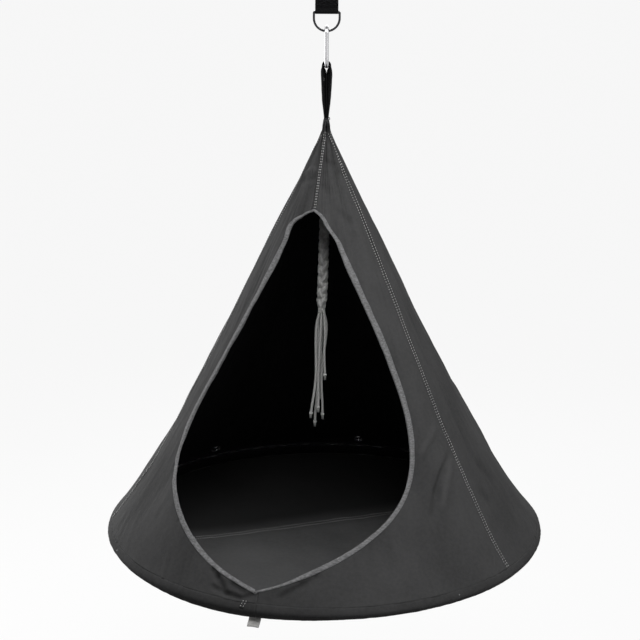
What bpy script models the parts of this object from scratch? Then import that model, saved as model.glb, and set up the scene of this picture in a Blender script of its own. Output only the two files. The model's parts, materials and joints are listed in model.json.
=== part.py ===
"""Hanging hammock tent: a canvas cone on a take-apart hoop, hung by webbing, a hook, a ring and a strap.

Metres, +Z up. The origin is the seat of the strap's eye, where a bar or a hook carries the tent.
The doorway faces -Y. The strap, ring and hook are turned a little about Z against the tent.
"""

import math

import bmesh
import bpy
from mathutils import Matrix, Vector
from mathutils.geometry import interpolate_bezier

CLEARANCE = 0.0003
TURN = math.radians(17)

# The strap and the ring.
STRAP_WIDTH = 0.050
STRAP_THICKNESS = 0.002
STRAP_DROP = 0.1124
EYE_RADIUS = 0.020
EYE_LENGTH = 0.075
RING_WIRE = 0.005
RING_INNER_WIDTH = 0.0505
RING_INNER_HEIGHT = 0.0367
RING_CORNER = 0.0032

# The spring hook, its narrow end at the top.
HOOK_WIRE = 0.0095
HOOK_LENGTH = 0.093
HOOK_TOP_BEND = 0.0118
HOOK_BOTTOM_BEND = 0.0195
HINGE_END = 0.013
NOSE_END = 0.008
GATE_DIAMETER = 0.0085
TONGUE_THICKNESS = 0.0034
NOSE_TONGUE = 0.0055
PIN_DIAMETER = 0.0026
SPRING_BORE = 0.0050
SPRING_DEPTH = 0.014
SPRING_WIRE = 0.0007
SPRING_TURNS = 7

# The webbing loops between the hook and the tent.
WEBBING_THICKNESS = 0.0018
WEBBING_BUNCHED = 0.011
WEBBING_NECK = 0.0085
LOOP_CLEARANCE = 0.0006
LOOP_DROP = 0.118
OUTER_BULGE = 0.0105
INNER_BULGE = 0.0062
BULGE_DROP = 0.016
NECK_DROP = 0.085
LOOP_STEP = 0.012
TAIL_LENGTH = 0.047

# The canopy.
TENT_DIAMETER = 1.000
CANVAS = 0.0016
CANOPY_HEIGHT = 0.952
TIP_NECK = 0.0159
HEM_HEIGHT = 0.016
HEM_OFFSET = 0.0029
TIP_RADIUS = 0.0062
STRAIGHT_SHARE = 0.9105
FLARE_POWER = 6.8
PANELS = 5
PANEL_ROWS = 12

# The doorway's outline seen from the front, right half: its tips, its shoulder and its widest point.
DOOR_TOP = 0.767
DOOR_SHOULDER = (0.064, 0.710)
DOOR_WIDEST = (0.2740, 0.2255)
DOOR_BOTTOM = 0.033
TOP_HANDLES = ((0.030, 0.759), (0.051, 0.736))
SIDE_HANDLES = ((0.147, 0.522), (0.2740, 0.326))
LOWER_HANDLES = ((0.2740, 0.090), (0.050, 0.0475))

# The doorway leans to the right above this height and to the left below it: how far, and over what height.
DOOR_SWAY = 0.0065
SWAY_MIDDLE = 0.345
SWAY_SPAN = 0.350

# The binding's tape, folded over the doorway's edge.
BINDING_WIDTH = 0.0145
BINDING_THICKNESS = 0.0012

# The hoop and its sleeve.
HOOP_TUBE = 0.025
HOOP_WALL = 0.0015
HOOP_SECTIONS = 4
HOOP_FACETS = 48
TUBE_SIDES = 8
SLEEVE_SPAN = (28, -230)
SLEEVE_FIT = 1.2
SLEEVE_SLOT_WIDTH = 0.110
SLEEVE_SLOT_DEPTH = 0.009
TAB_WIDTH = 0.026
TAB_LENGTH = 0.020
TAB_THICKNESS = 0.0012

# The floor, eyelets and rope.
FLOOR_EDGE = -0.0112
FLOOR_SAG = 0.026
FLOOR_ROWS = 5
FLOOR_SEAM_ANGLE = math.radians(36)
EYELET_DIAMETER = 0.024
EYELET_BORE = 0.011
EYELET_RIM = 0.0010
EYELET_HEIGHT = 0.032
EYELET_ANGLES = (math.radians(186.6), math.radians(231.6))
ROPE_DIAMETER = 0.0235
ROPE_TAPER = 0.060
TIE_HEIGHT = 0.516
TIE_DIAMETER = 0.0160
TIE_LENGTH = 0.009
STRAND_DIAMETER = 0.0055
KNOT_DIAMETER = 0.0092
ROPE_STEP = 1.3
STRAND_STEP = 2.6

SLEEVE_RADIUS = HOOP_TUBE / 2 + CLEARANCE + CANVAS
HOOP_RADIUS = TENT_DIAMETER / 2 - SLEEVE_RADIUS
HEM_RADIUS = HOOP_RADIUS + HEM_OFFSET
CONE_HEIGHT = CANOPY_HEIGHT - TIP_NECK
ROPE_TOP = CANOPY_HEIGHT - TAIL_LENGTH - CLEARANCE

BLACK = (0.012, 0.012, 0.013)
GREY_CANVAS = (0.055, 0.056, 0.060)
COTTON = (0.20, 0.20, 0.20)


# Scene, materials and placing.


def clear_scene():
    for obj in list(bpy.data.objects):
        bpy.data.objects.remove(obj)


def new_collection(name):
    collection = bpy.data.collections.new(name)
    bpy.context.scene.collection.children.link(collection)
    return collection


def make_material(name, colour, roughness, metallic=0.0):
    material = bpy.data.materials.new(name)
    material.use_nodes = True
    shader = material.node_tree.nodes["Principled BSDF"]
    shader.inputs["Base Color"].default_value = (*colour, 1.0)
    shader.inputs["Roughness"].default_value = roughness
    shader.inputs["Metallic"].default_value = metallic
    material.diffuse_color = (*colour, 1.0)
    return material


def frame(name, parent, location, turn=0.0):
    """An empty that carries the pieces of one moving body, placed on its joint."""
    empty = bpy.data.objects.new(name, None)
    empty.empty_display_size = 0.02
    empty.parent = parent
    empty.location = location
    empty.rotation_euler = (0, 0, turn)
    PARTS.objects.link(empty)
    return empty


def add_piece(name, data, parent, colour, roughness, metallic=0.0):
    """A named piece with its own material, in its body's frame."""
    obj = bpy.data.objects.new(name, data)
    obj.parent = parent
    PARTS.objects.link(obj)
    data.materials.clear()
    data.materials.append(make_material(name, colour, roughness, metallic))
    return obj


def add_cutter(name, mesh, parent=None):
    obj = bpy.data.objects.new(name, mesh)
    obj.parent = parent
    obj.hide_render = True
    obj.display_type = "WIRE"
    CUTTERS.objects.link(obj)
    return obj


def boolean(obj, cutter, operation="DIFFERENCE"):
    modifier = obj.modifiers.new(operation.title(), "BOOLEAN")
    modifier.object = cutter
    modifier.operation = operation
    modifier.solver = "EXACT"


def shade(obj, angle=35):
    obj.data.shade_smooth()
    obj.data.set_sharp_from_angle(angle=math.radians(angle))


# Meshes and curves.


def mesh_from(name, build):
    """A mesh filled by a function that receives its bmesh."""
    mesh = bpy.data.meshes.new(name)
    shape = bmesh.new()
    build(shape)
    bmesh.ops.recalc_face_normals(shape, faces=shape.faces)
    shape.to_mesh(mesh)
    shape.free()
    return mesh


def box_mesh(name, low, high):
    def build(shape):
        size = [b - a for a, b in zip(low, high)]
        middle = [(a + b) / 2 for a, b in zip(low, high)]
        place = Matrix.Translation(middle) @ Matrix.Diagonal((*size, 1))
        bmesh.ops.create_cube(shape, size=1, matrix=place)

    return mesh_from(name, build)


def cylinder_mesh(name, radius, start, end, sides=12):
    """A cylinder between two points."""

    def build(shape):
        along = Vector(end) - Vector(start)
        place = Matrix.Translation((Vector(start) + Vector(end)) / 2)
        place = place @ along.to_track_quat("Z", "Y").to_matrix().to_4x4()
        size = {"radius1": radius, "radius2": radius, "depth": along.length}
        bmesh.ops.create_cone(shape, cap_ends=True, segments=sides, matrix=place, **size)

    return mesh_from(name, build)


def profile_mesh(name, profile):
    """A closed profile of (radius, height) points at +X, which runs down its outer side."""
    count = len(profile)
    mesh = bpy.data.meshes.new(name)
    points = [(radius, 0, height) for radius, height in profile]
    mesh.from_pydata(points, [(i, (i + 1) % count) for i in range(count)], [])
    return mesh


def turn(obj, facets=0, sweep=math.tau):
    """Turns an object's profile about Z."""
    screw = obj.modifiers.new("Turn", "SCREW")
    screw.angle = sweep
    screw.steps = facets or HOOP_FACETS
    screw.render_steps = screw.steps
    screw.use_merge_vertices = True
    screw.merge_threshold = 0.00001
    screw.use_smooth_shade = True


def prism_mesh(name, outline, depth):
    """A flat outline in X and Y, given its thickness along Z."""
    curve = bpy.data.curves.new(name, "CURVE")
    curve.dimensions = "2D"
    curve.fill_mode = "BOTH"
    curve.extrude = depth / 2
    spline = curve.splines.new("POLY")
    spline.points.add(len(outline) - 1)
    for point, (x, y) in zip(spline.points, outline):
        point.co = (x, y, 0, 1)
    spline.use_cyclic_u = True
    return curve_as_mesh(curve)


def tube_curve(name, points, radius, scales=None, cyclic=False, resolution=2):
    curve = bpy.data.curves.new(name, "CURVE")
    curve.dimensions = "3D"
    curve.bevel_depth = radius
    curve.bevel_resolution = resolution
    curve.use_fill_caps = True
    spline = curve.splines.new("POLY")
    spline.points.add(len(points) - 1)
    for i, point in enumerate(points):
        spline.points[i].co = (*point, 1)
        spline.points[i].radius = scales[i] if scales else 1.0
    spline.use_cyclic_u = cyclic
    return curve


def curve_as_mesh(curve):
    """The curve's tube as one closed mesh, for pieces that are cut or joined."""
    guide = bpy.data.objects.new(curve.name, curve)
    bpy.context.scene.collection.objects.link(guide)
    graph = bpy.context.evaluated_depsgraph_get()
    mesh = bpy.data.meshes.new_from_object(guide.evaluated_get(graph))
    bpy.data.objects.remove(guide)
    shape = bmesh.new()
    shape.from_mesh(mesh)
    bmesh.ops.remove_doubles(shape, verts=shape.verts, dist=1e-6)
    bmesh.ops.recalc_face_normals(shape, faces=shape.faces)
    shape.to_mesh(mesh)
    shape.free()
    return mesh


def ribbon(name, path, widths, thickness, parent, cyclic=False, columns=1, rise=None):
    """Black webbing along a path in X and Z, its width along Y, as a sheet thickened both ways."""

    def build(shape):
        rows = []
        for (x, z), width in zip(path, widths):
            row = []
            for c in range(columns + 1):
                y = width * (c / columns - 0.5)
                row.append(shape.verts.new((x, y, z + (rise(y, z) if rise else 0.0))))
            rows.append(row)
        following = rows[1:] + (rows[:1] if cyclic else [])
        for row, after in zip(rows, following):
            for c in range(columns):
                shape.faces.new((row[c], row[c + 1], after[c + 1], after[c]))

    obj = add_piece(name, mesh_from(name, build), parent, BLACK, 0.85)
    solid = obj.modifiers.new("Webbing", "SOLIDIFY")
    solid.thickness = thickness
    solid.offset = 0
    solid.use_even_offset = True
    shade(obj)
    return obj


# Points along curves.


def arc(centre, radius, start, end, count):
    """Points on an arc in a plane, angles in degrees."""
    angles = [math.radians(start + (end - start) * i / count) for i in range(count + 1)]
    return [(centre[0] + radius * math.cos(a), centre[1] + radius * math.sin(a)) for a in angles]


def smooth_path(points, step):
    """Even points, about one step apart, along a smooth curve through the given points."""
    guides = [Vector(p) for p in points]
    ends = [2 * guides[0] - guides[1]] + guides + [2 * guides[-1] - guides[-2]]
    fine = [guides[0]]
    for before, here, there, after in zip(ends, ends[1:], ends[2:], ends[3:]):
        handles = here + (there - before) / 6, there - (after - here) / 6
        fine += interpolate_bezier(here, *handles, there, 24)[1:]
    lengths = [0.0]
    for here, there in zip(fine, fine[1:]):
        lengths.append(lengths[-1] + (there - here).length)
    count = max(2, round(lengths[-1] / step))
    even = []
    k = 0
    for i in range(count + 1):
        wanted = lengths[-1] * i / count
        while k < len(fine) - 2 and lengths[k + 1] < wanted:
            k += 1
        share = (wanted - lengths[k]) / (lengths[k + 1] - lengths[k])
        even.append(fine[k].lerp(fine[k + 1], share))
    return even


# The canopy's form.


def cone_radius(height):
    """Outer radius of the cloth at a height above the hoop's plane."""
    fall = max(0.0, (CONE_HEIGHT - height) / (CONE_HEIGHT - HEM_HEIGHT))
    cone = STRAIGHT_SHARE * fall + (1 - STRAIGHT_SHARE) * fall**FLARE_POWER
    return math.hypot(HEM_RADIUS * cone, TIP_RADIUS * (1 - fall**4))


def cone_normal(height):
    """(outward, upward) parts of the cloth's normal at a height."""
    step = 0.001
    slope = (cone_radius(height - step) - cone_radius(height + step)) / (2 * step)
    return 1 / math.hypot(1, slope), slope / math.hypot(1, slope)


def cone_side(offset, heights):
    """The cloth's side moved outwards by an offset, as (radius, height) points."""
    side = []
    for height in heights:
        outward, upward = cone_normal(height)
        side.append((cone_radius(height) + offset * outward, height + offset * upward))
    return side


def shell_profile(outside, inside):
    """Closed profile of the cloth's shell, grown by two distances from its outer face."""
    heights = []
    for i in range(PANEL_ROWS + 1):
        share = (1 + math.cos(math.pi * i / PANEL_ROWS)) / 2
        heights.append(HEM_HEIGHT + (CANOPY_HEIGHT - HEM_HEIGHT) * share)
    return cone_side(outside, heights) + cone_side(-inside, heights[::-1])


def door_half():
    """The outer edge of the doorway's binding, right half, from the top tip to the bottom one."""
    tip, shoulder = (0.0, DOOR_TOP), DOOR_SHOULDER
    widest, bottom = DOOR_WIDEST, (0.0, DOOR_BOTTOM)
    half = interpolate_bezier(Vector(tip), *map(Vector, TOP_HANDLES), Vector(shoulder), 5)
    half += interpolate_bezier(Vector(shoulder), *map(Vector, SIDE_HANDLES), Vector(widest), 13)[1:]
    half += interpolate_bezier(Vector(widest), *map(Vector, LOWER_HANDLES), Vector(bottom), 13)[1:]
    return half


def inset(half, distance, on_cloth=False):
    """The half outline moved inwards, by a distance seen from the front or measured on the sloping cloth."""
    moved = []
    for i, point in enumerate(half):
        before, after = half[max(i - 1, 0)], half[min(i + 1, len(half) - 1)]
        along = (after - before).normalized()
        inwards = Vector((along.y, -along.x))
        reach = distance
        if on_cloth:
            radius = cone_radius(point.y)
            facing = math.sqrt(1 - (point.x / radius) ** 2)
            upward = cone_normal(point.y)[0]
            reach /= math.hypot(inwards.x / facing, inwards.y / upward)
        moved.append(point + inwards * reach)
    return clip_at_middle(moved)


def clip_at_middle(half):
    """Keeps the part right of the middle, with its ends on the middle line."""
    kept = []
    for here, there in zip(half, half[1:]):
        if here.x > 0:
            kept.append(here)
        if (here.x > 0) != (there.x > 0):
            kept.append(here.lerp(there, here.x / (here.x - there.x)))
    if half[-1].x > 0:
        kept.append(half[-1])
    first, last = kept[0], kept[-1]
    if first.x > 0:
        kept.insert(0, Vector((0.0, first.y + first.x)))
    if last.x > 0:
        kept.append(Vector((0.0, last.y - last.x / 4)))
    return kept


def door_sway(height):
    """How far the doorway's middle lies to the right of the front seam."""
    share = min(1.0, (height - SWAY_MIDDLE) / SWAY_SPAN)
    return DOOR_SWAY * math.sin(math.pi * share)


def door_cutter(name, half, parent):
    """A cutter for the whole drop-shaped outline, through the front of the cone."""
    mirrored = [Vector((-point.x, point.y)) for point in half[-2:0:-1]]
    outline = [(point.x + door_sway(point.y), point.y) for point in (*half, *mirrored)]
    depth = 2 * HOOP_RADIUS
    cutter = add_cutter(name, prism_mesh(name, outline, depth), parent)
    cutter.location = (0, -depth / 2, 0)
    cutter.rotation_euler = (math.pi / 2, 0, 0)
    return cutter


def shell_cutter(name, outside, inside, parent):
    cutter = add_cutter(name, profile_mesh(name, shell_profile(outside, inside)), parent)
    turn(cutter)
    return cutter


# The strap, ring and hook.


def make_strap(parent):
    """An endless strap, sewn to itself between its eye at the top and its fold round the ring's bar."""
    layer = (STRAP_THICKNESS + CLEARANCE) / 2
    eye = EYE_RADIUS + STRAP_THICKNESS / 2
    fold = RING_WIRE / 2 + CLEARANCE + STRAP_THICKNESS / 2
    join = (layer, EYE_RADIUS - EYE_LENGTH)
    tangent = math.atan2(join[1], join[0]) + math.acos(eye / math.hypot(*join))
    start = math.degrees(tangent)
    path = arc((0, -EYE_RADIUS), eye, start, 180 - start, 16)
    path += [(-layer, -EYE_LENGTH), (-layer, 2 * fold - STRAP_DROP)]
    path += arc((0, -STRAP_DROP), fold, 170, 370, 8)
    path += [(layer, 2 * fold - STRAP_DROP), (layer, -EYE_LENGTH)]
    widths = [STRAP_WIDTH] * len(path)
    strap = ribbon("hanging_strap", path, widths, STRAP_THICKNESS, parent, cyclic=True)
    strap.rotation_euler = (0, 0, math.pi / 2)


def make_ring(parent):
    """The D-ring's wire: a straight bar on the joint's axis, two corners and a half-round bow."""
    half = (RING_INNER_WIDTH + RING_WIRE) / 2
    bow_centre = (0, -(RING_INNER_HEIGHT + RING_WIRE - half))
    outline = arc((half - RING_CORNER, -RING_CORNER), RING_CORNER, 90, 0, 4)
    outline += arc(bow_centre, half, 0, -180, 14)
    outline += arc((RING_CORNER - half, -RING_CORNER), RING_CORNER, 180, 90, 4)
    points = [(x, 0, z) for x, z in outline]
    curve = tube_curve("d_ring", points, RING_WIRE / 2, cyclic=True, resolution=3)
    add_piece("d_ring", curve, parent, (0.30, 0.30, 0.31), 0.28, 1.0)


def hook_layout():
    """Places on the hook in its own plane, (Y, Z), from the centre of the ring's wire."""
    top = (RING_WIRE + HOOK_WIRE) / 2 + CLEARANCE
    bottom = top - (HOOK_LENGTH - HOOK_WIRE)
    high = (0.0, top - HOOK_TOP_BEND)
    low = (0.0, bottom + HOOK_BOTTOM_BEND)
    lean = math.asin((HOOK_BOTTOM_BEND - HOOK_TOP_BEND) / (high[1] - low[1]))
    across, up = math.cos(lean), math.sin(lean)
    hinge_start = Vector((high[0] + HOOK_TOP_BEND * across, high[1] + HOOK_TOP_BEND * up))
    nose_start = Vector((low[0] + HOOK_BOTTOM_BEND * across, low[1] + HOOK_BOTTOM_BEND * up))
    return {
        "high": high,
        "low": low,
        "lean": lean,
        "bottom": bottom,
        "hinge_start": hinge_start,
        "nose_start": nose_start,
        "down": (nose_start - hinge_start).normalized(),
    }


def in_plane(point, x=0.0):
    return (x, point[0], point[1])


def pin_hole(name, gate_frame):
    radius = (PIN_DIAMETER + CLEARANCE) / 2
    return add_cutter(name, cylinder_mesh(name, radius, (-HOOK_WIRE, 0, 0), (HOOK_WIRE, 0, 0)), gate_frame)


def make_hook(hook_frame, gate_frame):
    """The hook's bent wire, with a pierced tongue for the gate's hinge and a thin one at its nose."""
    plan = hook_layout()
    lean = math.degrees(plan["lean"])
    down = plan["down"]
    hinge = plan["hinge_start"] + down * HINGE_END
    nose = plan["nose_start"] - down * NOSE_END
    path = [hinge]
    path += arc(plan["high"], HOOK_TOP_BEND, lean, 180 - lean, 10)
    path += arc(plan["low"], HOOK_BOTTOM_BEND, 180 - lean, 360 + lean, 14)
    path += [nose]
    wire = tube_curve("hook_body", [in_plane(p) for p in path], HOOK_WIRE / 2, resolution=3)
    body = add_piece("hook_body", curve_as_mesh(wire), hook_frame, (0.62, 0.62, 0.64), 0.22, 1.0)

    def cheeks(name, point, way):
        """Two blocks that leave a tongue of the wire from a point on."""
        for side in (-1, 1):
            inner, outer = side * TONGUE_THICKNESS / 2, side * HOOK_WIRE
            low = (min(inner, outer), -HOOK_WIRE, 0)
            high = (max(inner, outer), HOOK_WIRE, 3 * HOOK_WIRE)
            block = add_cutter(f"{name}_{side}", box_mesh(name, low, high), hook_frame)
            block.location = in_plane(point)
            block.rotation_euler = Vector(in_plane(way)).to_track_quat("Z", "Y").to_euler()
            boolean(body, block)

    shoulder = GATE_DIAMETER / 2 + math.hypot(GATE_DIAMETER, GATE_DIAMETER) / 2 + CLEARANCE
    cheeks("hinge_cheek", hinge - down * shoulder, down)
    cheeks("nose_cheek", nose + down * NOSE_TONGUE, -down)
    boolean(body, pin_hole("pin_bore", gate_frame))
    shade(body)


def gate_place():
    """The gate's pivot in the hook's plane."""
    plan = hook_layout()
    return plan["hinge_start"] + plan["down"] * (HINGE_END - GATE_DIAMETER / 2)


def tongue_reach():
    """How far a tongue's corners reach from the gate's pin, which the fork's slot clears."""
    return math.hypot(GATE_DIAMETER / 2, HOOK_WIRE / 2) + CLEARANCE


def make_gate(gate_frame):
    """The gate: a rod forked over both of the hook's tongues, bored for its spring."""
    plan = hook_layout()
    down = plan["down"]
    radius = GATE_DIAMETER / 2
    to_nose = (plan["nose_start"] - down * NOSE_END - gate_place()).length
    reach = to_nose + NOSE_TONGUE - CLEARANCE
    start, end = in_plane(down * -radius), in_plane(down * reach)
    rod = cylinder_mesh("hook_gate", radius, start, end, 12)
    gate = add_piece("hook_gate", rod, gate_frame, (0.60, 0.60, 0.62), 0.24, 1.0)
    gap = TONGUE_THICKNESS / 2 + CLEARANCE
    tilt = Vector(in_plane(down)).to_track_quat("Z", "Y").to_euler()
    slots = {
        "hinge_slot": (-HOOK_WIRE, tongue_reach()),
        "nose_slot": (to_nose - CLEARANCE, reach + HOOK_WIRE),
    }
    for name, (low, high) in slots.items():
        block = box_mesh(name, (-gap, -HOOK_WIRE, low), (gap, HOOK_WIRE, high))
        slot = add_cutter(name, block, gate_frame)
        slot.rotation_euler = tilt
        boolean(gate, slot)
    depth = Vector(in_plane(down * (tongue_reach() + SPRING_DEPTH)))
    bore = cylinder_mesh("spring_bore", SPRING_BORE / 2, (0, 0, 0), depth, 10)
    boolean(gate, add_cutter("spring_bore", bore, gate_frame))
    boolean(gate, pin_hole("gate_pin_hole", gate_frame))
    shade(gate)


def make_pin(gate_frame):
    half = GATE_DIAMETER / 2
    mesh = cylinder_mesh("hook_pin", PIN_DIAMETER / 2, (-half, 0, 0), (half, 0, 0))
    pin = add_piece("hook_pin", mesh, gate_frame, (0.55, 0.55, 0.57), 0.3, 1.0)
    shade(pin)


def make_gate_spring(gate_frame):
    """A small coil in the gate's bore, below the hinge's tongue."""
    down = Vector(in_plane(hook_layout()["down"]))
    radius = SPRING_BORE / 2 - CLEARANCE - SPRING_WIRE / 2
    low = tongue_reach() + SPRING_WIRE / 2
    high = tongue_reach() + SPRING_DEPTH - SPRING_WIRE / 2 - CLEARANCE
    side = Vector((1, 0, 0))
    front = down.cross(side)
    steps = SPRING_TURNS * 8
    points = []
    for i in range(steps + 1):
        angle = math.tau * i / 8
        along = low + (high - low) * i / steps
        points.append(down * along + radius * (side * math.cos(angle) + front * math.sin(angle)))
    curve = tube_curve("gate_spring", points, SPRING_WIRE / 2, resolution=1)
    add_piece("gate_spring", curve, gate_frame, (0.35, 0.35, 0.36), 0.3, 1.0)


# The webbing loops.


def loop_half(inner, bulge, neck):
    """Half of a hanging loop's middle line, from its top over the hook's wire down to its neck."""
    top = arc((0, 0), inner, 90, 15, 5)
    side = [top[-1], (bulge, -BULGE_DROP), (neck, -NECK_DROP), (neck, -LOOP_DROP)]
    lower = smooth_path([(*p, 0) for p in side], LOOP_STEP)
    return top[:-1] + [(p.x, p.y) for p in lower[:-1]] + [(neck, -LOOP_DROP + CLEARANCE)]


def make_loops(parent):
    """Two loops, one inside the other, folded narrow over the hook's round wire and drawn together below."""
    wire = HOOK_WIRE / 2 + LOOP_CLEARANCE + WEBBING_THICKNESS / 2
    inner_bend = HOOK_BOTTOM_BEND - HOOK_WIRE / 2
    first_leg = (WEBBING_THICKNESS + CLEARANCE) / 2
    layers = {
        "apex_loop_inner": (wire, INNER_BULGE, first_leg),
        "apex_loop_outer": (
            wire + WEBBING_THICKNESS + CLEARANCE,
            OUTER_BULGE,
            first_leg + WEBBING_THICKNESS + CLEARANCE,
        ),
    }

    def rise(y, z):
        """Lifts the loop's edges off the hook's bend, fading out below it."""
        lift = inner_bend - math.sqrt(inner_bend**2 - y**2)
        return lift * min(1.0, max(0.0, 1 + z / BULGE_DROP))

    for name, (radius, bulge, neck) in layers.items():
        half = loop_half(radius, bulge, neck)
        path = [(-x, z) for x, z in half[:0:-1]] + half
        widths = []
        for x, z in path:
            share = min(1.0, max(0.0, -z / LOOP_DROP))
            widths.append(WEBBING_BUNCHED + (WEBBING_NECK - WEBBING_BUNCHED) * share)
        ribbon(name, path, widths, WEBBING_THICKNESS, parent, columns=4, rise=rise)


def make_tail(parent):
    """The webbing's ends, sewn into a round tail inside the cloth's tip."""
    radius = TIP_RADIUS - CANVAS - CLEARANCE
    mesh = cylinder_mesh("neck_tail", radius, (0, 0, 0), (0, 0, -TAIL_LENGTH), 12)
    tail = add_piece("neck_tail", mesh, parent, BLACK, 0.85)
    shade(tail)


# The canopy, its binding and its metal.


def make_panels(parent):
    """The cone's shell, cut into panels at its seams, by the doorway in front and by eyelets behind."""
    share = math.tau / PANELS
    tip = (CLEARANCE / 2 / math.sin(share / 2), 0)
    reach = 2 * HOOP_RADIUS
    side = reach * math.tan(share / 2)
    wedge_mesh = prism_mesh("seam_wedge", [tip, (reach, -side), (reach, side)], 2 * CANOPY_HEIGHT)
    shell = profile_mesh("canopy_shell", shell_profile(0, CANVAS))
    cut_half = inset(door_half(), BINDING_WIDTH - BINDING_THICKNESS - CLEARANCE, on_cloth=True)
    door = door_cutter("door_cut", cut_half, parent)
    holes = []
    for number, angle in enumerate(EYELET_ANGLES, 1):
        start, end, _ = eyelet_line(angle)
        mesh = cylinder_mesh("eyelet_hole", EYELET_BORE / 2 + EYELET_RIM + CLEARANCE, start, end, 16)
        holes.append((angle, add_cutter(f"eyelet_hole_{number}", mesh, parent)))
    for number in range(PANELS):
        middle = share * (number + 0.5)
        panel = add_piece(f"panel_{number + 1}", shell.copy(), parent, GREY_CANVAS, 0.9)
        turn(panel)
        wedge = add_cutter(f"seam_wedge_{number + 1}", wedge_mesh.copy(), parent)
        wedge.location = (0, 0, CANOPY_HEIGHT / 2)
        wedge.rotation_euler = (0, 0, middle - math.pi / 2)
        boolean(panel, wedge, "INTERSECT")
        if number in (0, PANELS - 1):
            boolean(panel, door)
        for angle, hole in holes:
            if abs(angle - middle) < share / 2:
                boolean(panel, hole)


def make_binding(parent):
    """Webbing folded over the doorway's cut edge, following the cone on both faces."""
    outer = door_half()
    cut = inset(outer, BINDING_WIDTH - BINDING_THICKNESS - CLEARANCE, on_cloth=True)
    slot = inset(cut, CLEARANCE)
    opening = inset(slot, BINDING_THICKNESS)
    reach = CLEARANCE + BINDING_THICKNESS
    blank = profile_mesh("door_binding", shell_profile(reach, CANVAS + reach))
    binding = add_piece("door_binding", blank, parent, (0.26, 0.26, 0.26), 0.85)
    turn(binding)
    boolean(binding, door_cutter("binding_outline", outer, parent), "INTERSECT")
    boolean(binding, door_cutter("binding_opening", opening, parent))
    groove = shell_cutter("binding_groove", CLEARANCE, CANVAS + CLEARANCE, parent)
    boolean(groove, door_cutter("groove_edge", slot, parent))
    boolean(binding, groove)


def eyelet_line(angle):
    """A line through the cloth at an eyelet's centre, from inside to outside, and that centre."""
    outward, upward = cone_normal(EYELET_HEIGHT)
    facet = math.tau / HOOP_FACETS
    off_middle = angle % facet - facet / 2
    side = Vector((math.sin(angle), -math.cos(angle), 0))
    normal = side * outward + Vector((0, 0, upward))
    radius = cone_radius(EYELET_HEIGHT) * math.cos(facet / 2) / math.cos(off_middle)
    centre = side * radius + Vector((0, 0, EYELET_HEIGHT)) - normal * CANVAS / 2
    return centre - normal * EYELET_DIAMETER, centre + normal * EYELET_DIAMETER, centre


def make_eyelets(parent):
    """Two metal eyelets low on the back, each clenched on both faces of the cloth."""
    for name, angle in zip(("eyelet_right", "eyelet_left"), EYELET_ANGLES):
        start, end, centre = eyelet_line(angle)
        half = (end - start).normalized() * (CANVAS / 2 + CLEARANCE + EYELET_RIM)
        blank = cylinder_mesh(name, EYELET_DIAMETER / 2, centre - half, centre + half, 20)
        eyelet = add_piece(name, blank, parent, (0.5, 0.5, 0.5), 0.3, 1.0)
        groove = shell_cutter(f"{name}_groove", CLEARANCE, CANVAS + CLEARANCE, parent)
        barrel = cylinder_mesh(f"{name}_barrel", EYELET_BORE / 2 + EYELET_RIM, start, end, 16)
        boolean(groove, add_cutter(f"{name}_barrel", barrel, parent))
        boolean(eyelet, groove)
        bore = cylinder_mesh(f"{name}_bore", EYELET_BORE / 2, start, end, 16)
        boolean(eyelet, add_cutter(f"{name}_bore", bore, parent))
        shade(eyelet)


# The hoop, its sleeve and the floor.


def circle_profile(radius, sides=TUBE_SIDES):
    """A tube's round section at the hoop's radius."""
    turns = [-math.tau * (i + 0.5) / sides for i in range(sides)]
    return [(HOOP_RADIUS + radius * math.cos(angle), radius * math.sin(angle)) for angle in turns]


def wall(obj, thickness):
    """Gives a turned tube its wall, inwards."""
    solid = obj.modifiers.new("Wall", "SOLIDIFY")
    solid.thickness = thickness
    solid.offset = -1
    solid.use_even_offset = True


def make_hoop(parent):
    """Curved steel tubes, joined end to end by spigots that reach one facet into each tube."""
    facet = math.tau / HOOP_FACETS
    per_section = HOOP_FACETS // HOOP_SECTIONS
    trim = CLEARANCE / HOOP_RADIUS
    plug = HOOP_TUBE / 2 - HOOP_WALL - CLEARANCE
    for number in range(1, HOOP_SECTIONS + 1):
        start = (number + 0.25) * per_section * facet
        tube = profile_mesh(f"hoop_section_{number}", circle_profile(HOOP_TUBE / 2))
        section = add_piece(tube.name, tube, parent, (0.35, 0.35, 0.36), 0.35, 1.0)
        section.rotation_euler = (0, 0, start)
        turn(section, per_section, per_section * facet - trim)
        wall(section, HOOP_WALL)
        inner = profile_mesh(f"hoop_spigot_{number}", circle_profile(plug))
        spigot = add_piece(inner.name, inner, parent, (0.45, 0.45, 0.46), 0.35, 1.0)
        spigot.rotation_euler = (0, 0, start - facet)
        turn(spigot, 2, 2 * facet)
        wall(spigot, HOOP_WALL)


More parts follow.
